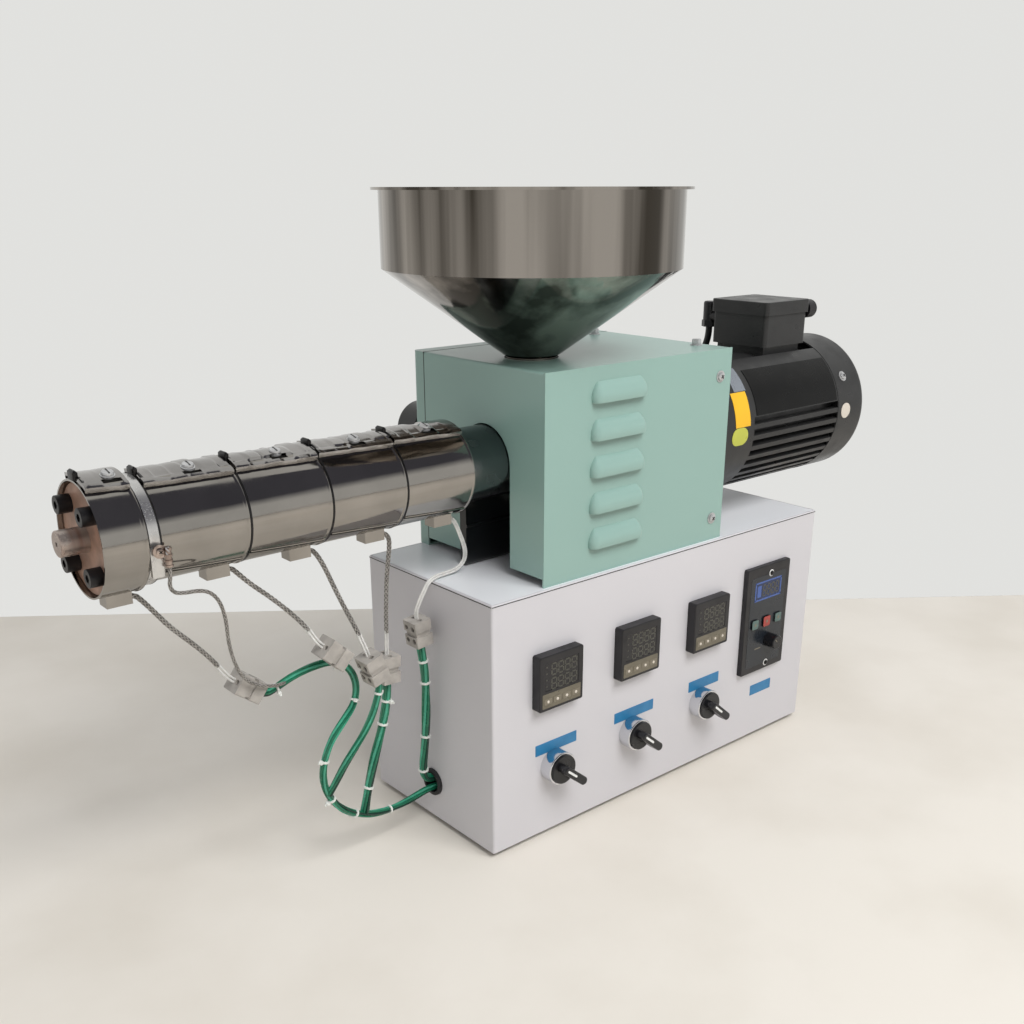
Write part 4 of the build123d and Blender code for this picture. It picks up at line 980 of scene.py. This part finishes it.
def makeMotorDetails():
    makeWrapped("barePlate", (114, 237), (40.5, 79), motor["radius"], "plateBlack", 0.5)
    makeWrapped("stickerGrey", (90, 106), (37, 58), motor["radius"], "stickerGrey")
    makeWrapped("stickerYellow", (84, 104.5), (58.5, 85.6), motor["radius"], "stickerYellow")
    makeWrapped("stickerLime", (79.5, 101.5), (86, 99.7), motor["radius"], "stickerLime", corner=7.8)
    makeWrapped("stickerRound", (244.5, 259.1), (83.1, 95.7), motor["fanRadius"], "dotPale", corner=7.2)
    shape = bmesh.new()
    for angle in motor["screws"]:
        turn = math.radians(angle)
        out = Vector((0, -math.sin(turn), math.cos(turn)))
        centre = Vector((motor["screwX"], motor["y"], motor["z"]))
        seat = axesAt(centre + out * (motor["fanRadius"] - 0.1), out, (1, 0, 0))
        addTurned(shape, seat, [(5.0, 0), (5.0, 0.6), (2.5, 0.65)], 28)
        addPanScrew(shape, moved(seat, z=0.5), 3.4)
    inside = axesAt((motor["baffle"], motor["y"], motor["z"]), (1, 0, 0))
    addTurned(shape, inside, [(20, -30), (58, -30), (61, -26), (61, -6), (40, 0), (0, 0)], 48, 1)
    addPiece("fanCoverScrews", shape, ["zincBright", "baseBlack"])


makeMotorDetails()
print("motor dressed")

# Floor, wall, world and lamps

stageLook = {"floor": (0.770, 0.725, 0.655), "floorDark": (0.700, 0.652, 0.578),
             "wall": (0.755, 0.755, 0.735),
             "wallDistance": 1.374, "wallTurn": 0.055, "floorRadius": 3.2,
             "ceiling": (0.10, 0.10, 0.12), "ceilingRise": (0.25, 0.45)}


def makeFloor():
    shape = bmesh.new()
    bmesh.ops.create_circle(shape, cap_ends=True, segments=96, radius=stageLook["floorRadius"])
    floor = bpy.data.objects.new("floor", meshOf("floor", shape))
    scene.collection.objects.link(floor)
    material = bpy.data.materials.new("floorStone")
    material.use_nodes = True
    tree = material.node_tree
    shader = tree.nodes["Principled BSDF"]
    places = addNode(tree, "ShaderNodeTexCoord").outputs["Object"]
    clouds = noiseAt(tree, places, 5, 6)
    tone = blendColours(tree, remap(tree, clouds, 0, 1, 0.42, 0.68), stageLook["floor"],
                        stageLook["floorDark"])
    tree.links.new(tone, shader.inputs["Base Color"])
    shader.inputs["Roughness"].default_value = 0.75
    floor.data.materials.append(material)
    floor.location.z = -0.0005
    return floor


def makeWall():
    # One-sided: it closes the view from the front and isn't there from behind
    heading = photoCamera["heading"]
    ahead = Vector((math.cos(heading), math.sin(heading), 0))
    foot = Vector(photoCamera["place"]) * mm
    foot.z = 0
    foot += ahead * stageLook["wallDistance"]
    across = Vector((ahead.y, -ahead.x, 0)) + ahead * stageLook["wallTurn"]
    shape = bmesh.new()
    corners = [foot - across * 5, foot + across * 5, foot + across * 5 + Vector((0, 0, 4)),
               foot - across * 5 + Vector((0, 0, 4))]
    shape.faces.new([shape.verts.new(corner) for corner in corners])
    mesh = bpy.data.meshes.new("wall")
    shape.to_mesh(mesh)
    shape.free()
    wall = bpy.data.objects.new("wall", mesh)
    scene.collection.objects.link(wall)
    material = bpy.data.materials.new("wallPaint")
    material.use_nodes = True
    tree = material.node_tree
    tree.nodes.clear()
    output = addNode(tree, "ShaderNodeOutputMaterial")
    glow = addNode(tree, "ShaderNodeEmission", {"Color": (*stageLook["wall"], 1), "Strength": 1.0})
    clear = addNode(tree, "ShaderNodeBsdfTransparent")
    geometry = addNode(tree, "ShaderNodeNewGeometry")
    mix = addNode(tree, "ShaderNodeMixShader")
    tree.links.new(geometry.outputs["Backfacing"], mix.inputs["Fac"])
    tree.links.new(glow.outputs["Emission"], mix.inputs[1])
    tree.links.new(clear.outputs["BSDF"], mix.inputs[2])
    tree.links.new(mix.outputs["Shader"], output.inputs["Surface"])
    mesh.materials.append(material)
    wall.visible_diffuse = False
    wall.visible_shadow = False
    return wall


def makeWorld():
    # Camera, metal and glass see one plain studio: the wall's colour all round, a darker ceiling overhead
    world = bpy.data.worlds.new("studio")
    scene.world = world
    world.use_nodes = True
    tree = world.node_tree
    tree.nodes.clear()
    output = addNode(tree, "ShaderNodeOutputWorld")
    ways = addNode(tree, "ShaderNodeLightPath")
    soft = addNode(tree, "ShaderNodeBackground", {"Color": (0.97, 0.98, 1.0, 1), "Strength": 0.47})
    seen = addNode(tree, "ShaderNodeBackground", {"Strength": 1.0})
    places = addNode(tree, "ShaderNodeTexCoord").outputs["Generated"]
    split = addNode(tree, "ShaderNodeSeparateXYZ")
    tree.links.new(places, split.inputs["Vector"])
    rise = remap(tree, split.outputs["Z"], 0, 1, *stageLook["ceilingRise"])
    tree.links.new(blendColours(tree, rise, stageLook["wall"], stageLook["ceiling"]), seen.inputs["Color"])
    direct = ways.outputs["Is Camera Ray"]
    for kind in ("Is Glossy Ray", "Is Transmission Ray"):
        either = addNode(tree, "ShaderNodeMath", {"operation": "MAXIMUM"})
        tree.links.new(direct, either.inputs[0])
        tree.links.new(ways.outputs[kind], either.inputs[1])
        direct = either.outputs["Value"]
    mix = addNode(tree, "ShaderNodeMixShader")
    tree.links.new(direct, mix.inputs["Fac"])
    tree.links.new(soft.outputs["Background"], mix.inputs[1])
    tree.links.new(seen.outputs["Background"], mix.inputs[2])
    tree.links.new(mix.outputs["Shader"], output.inputs["Surface"])


lamps = {"front": {"place": (-0.1, -1.6, 2.1), "aim": (-0.05, -0.03, 0.25), "size": 1.8, "power": 52.0},
         "side": {"place": (1.9, -0.5, 1.0), "aim": (0.1, 0, 0.3), "size": 1.3, "power": 3.0},
         "left": {"place": (-1.8, -1.0, 1.6), "aim": (-0.4, 0, 0.1), "size": 1.4, "power": 2.0}}


def makeLamps():
    for name, facts in lamps.items():
        lamp = bpy.data.lights.new(name, "AREA")
        lamp.shape = "RECTANGLE"
        lamp.size = facts["size"]
        lamp.size_y = facts["size"] * 0.6
        lamp.energy = facts["power"]
        holder = bpy.data.objects.new(name, lamp)
        scene.collection.objects.link(holder)
        holder.visible_glossy = False    # the panels' own images would burn white streaks into the metal
        holder.location = facts["place"]
        aim = Vector(facts["aim"]) - Vector(facts["place"])
        holder.rotation_euler = aim.to_track_quat("-Z", "Y").to_euler()


makeFloor()
makeWall()
makeWorld()
makeLamps()
print("stage set")
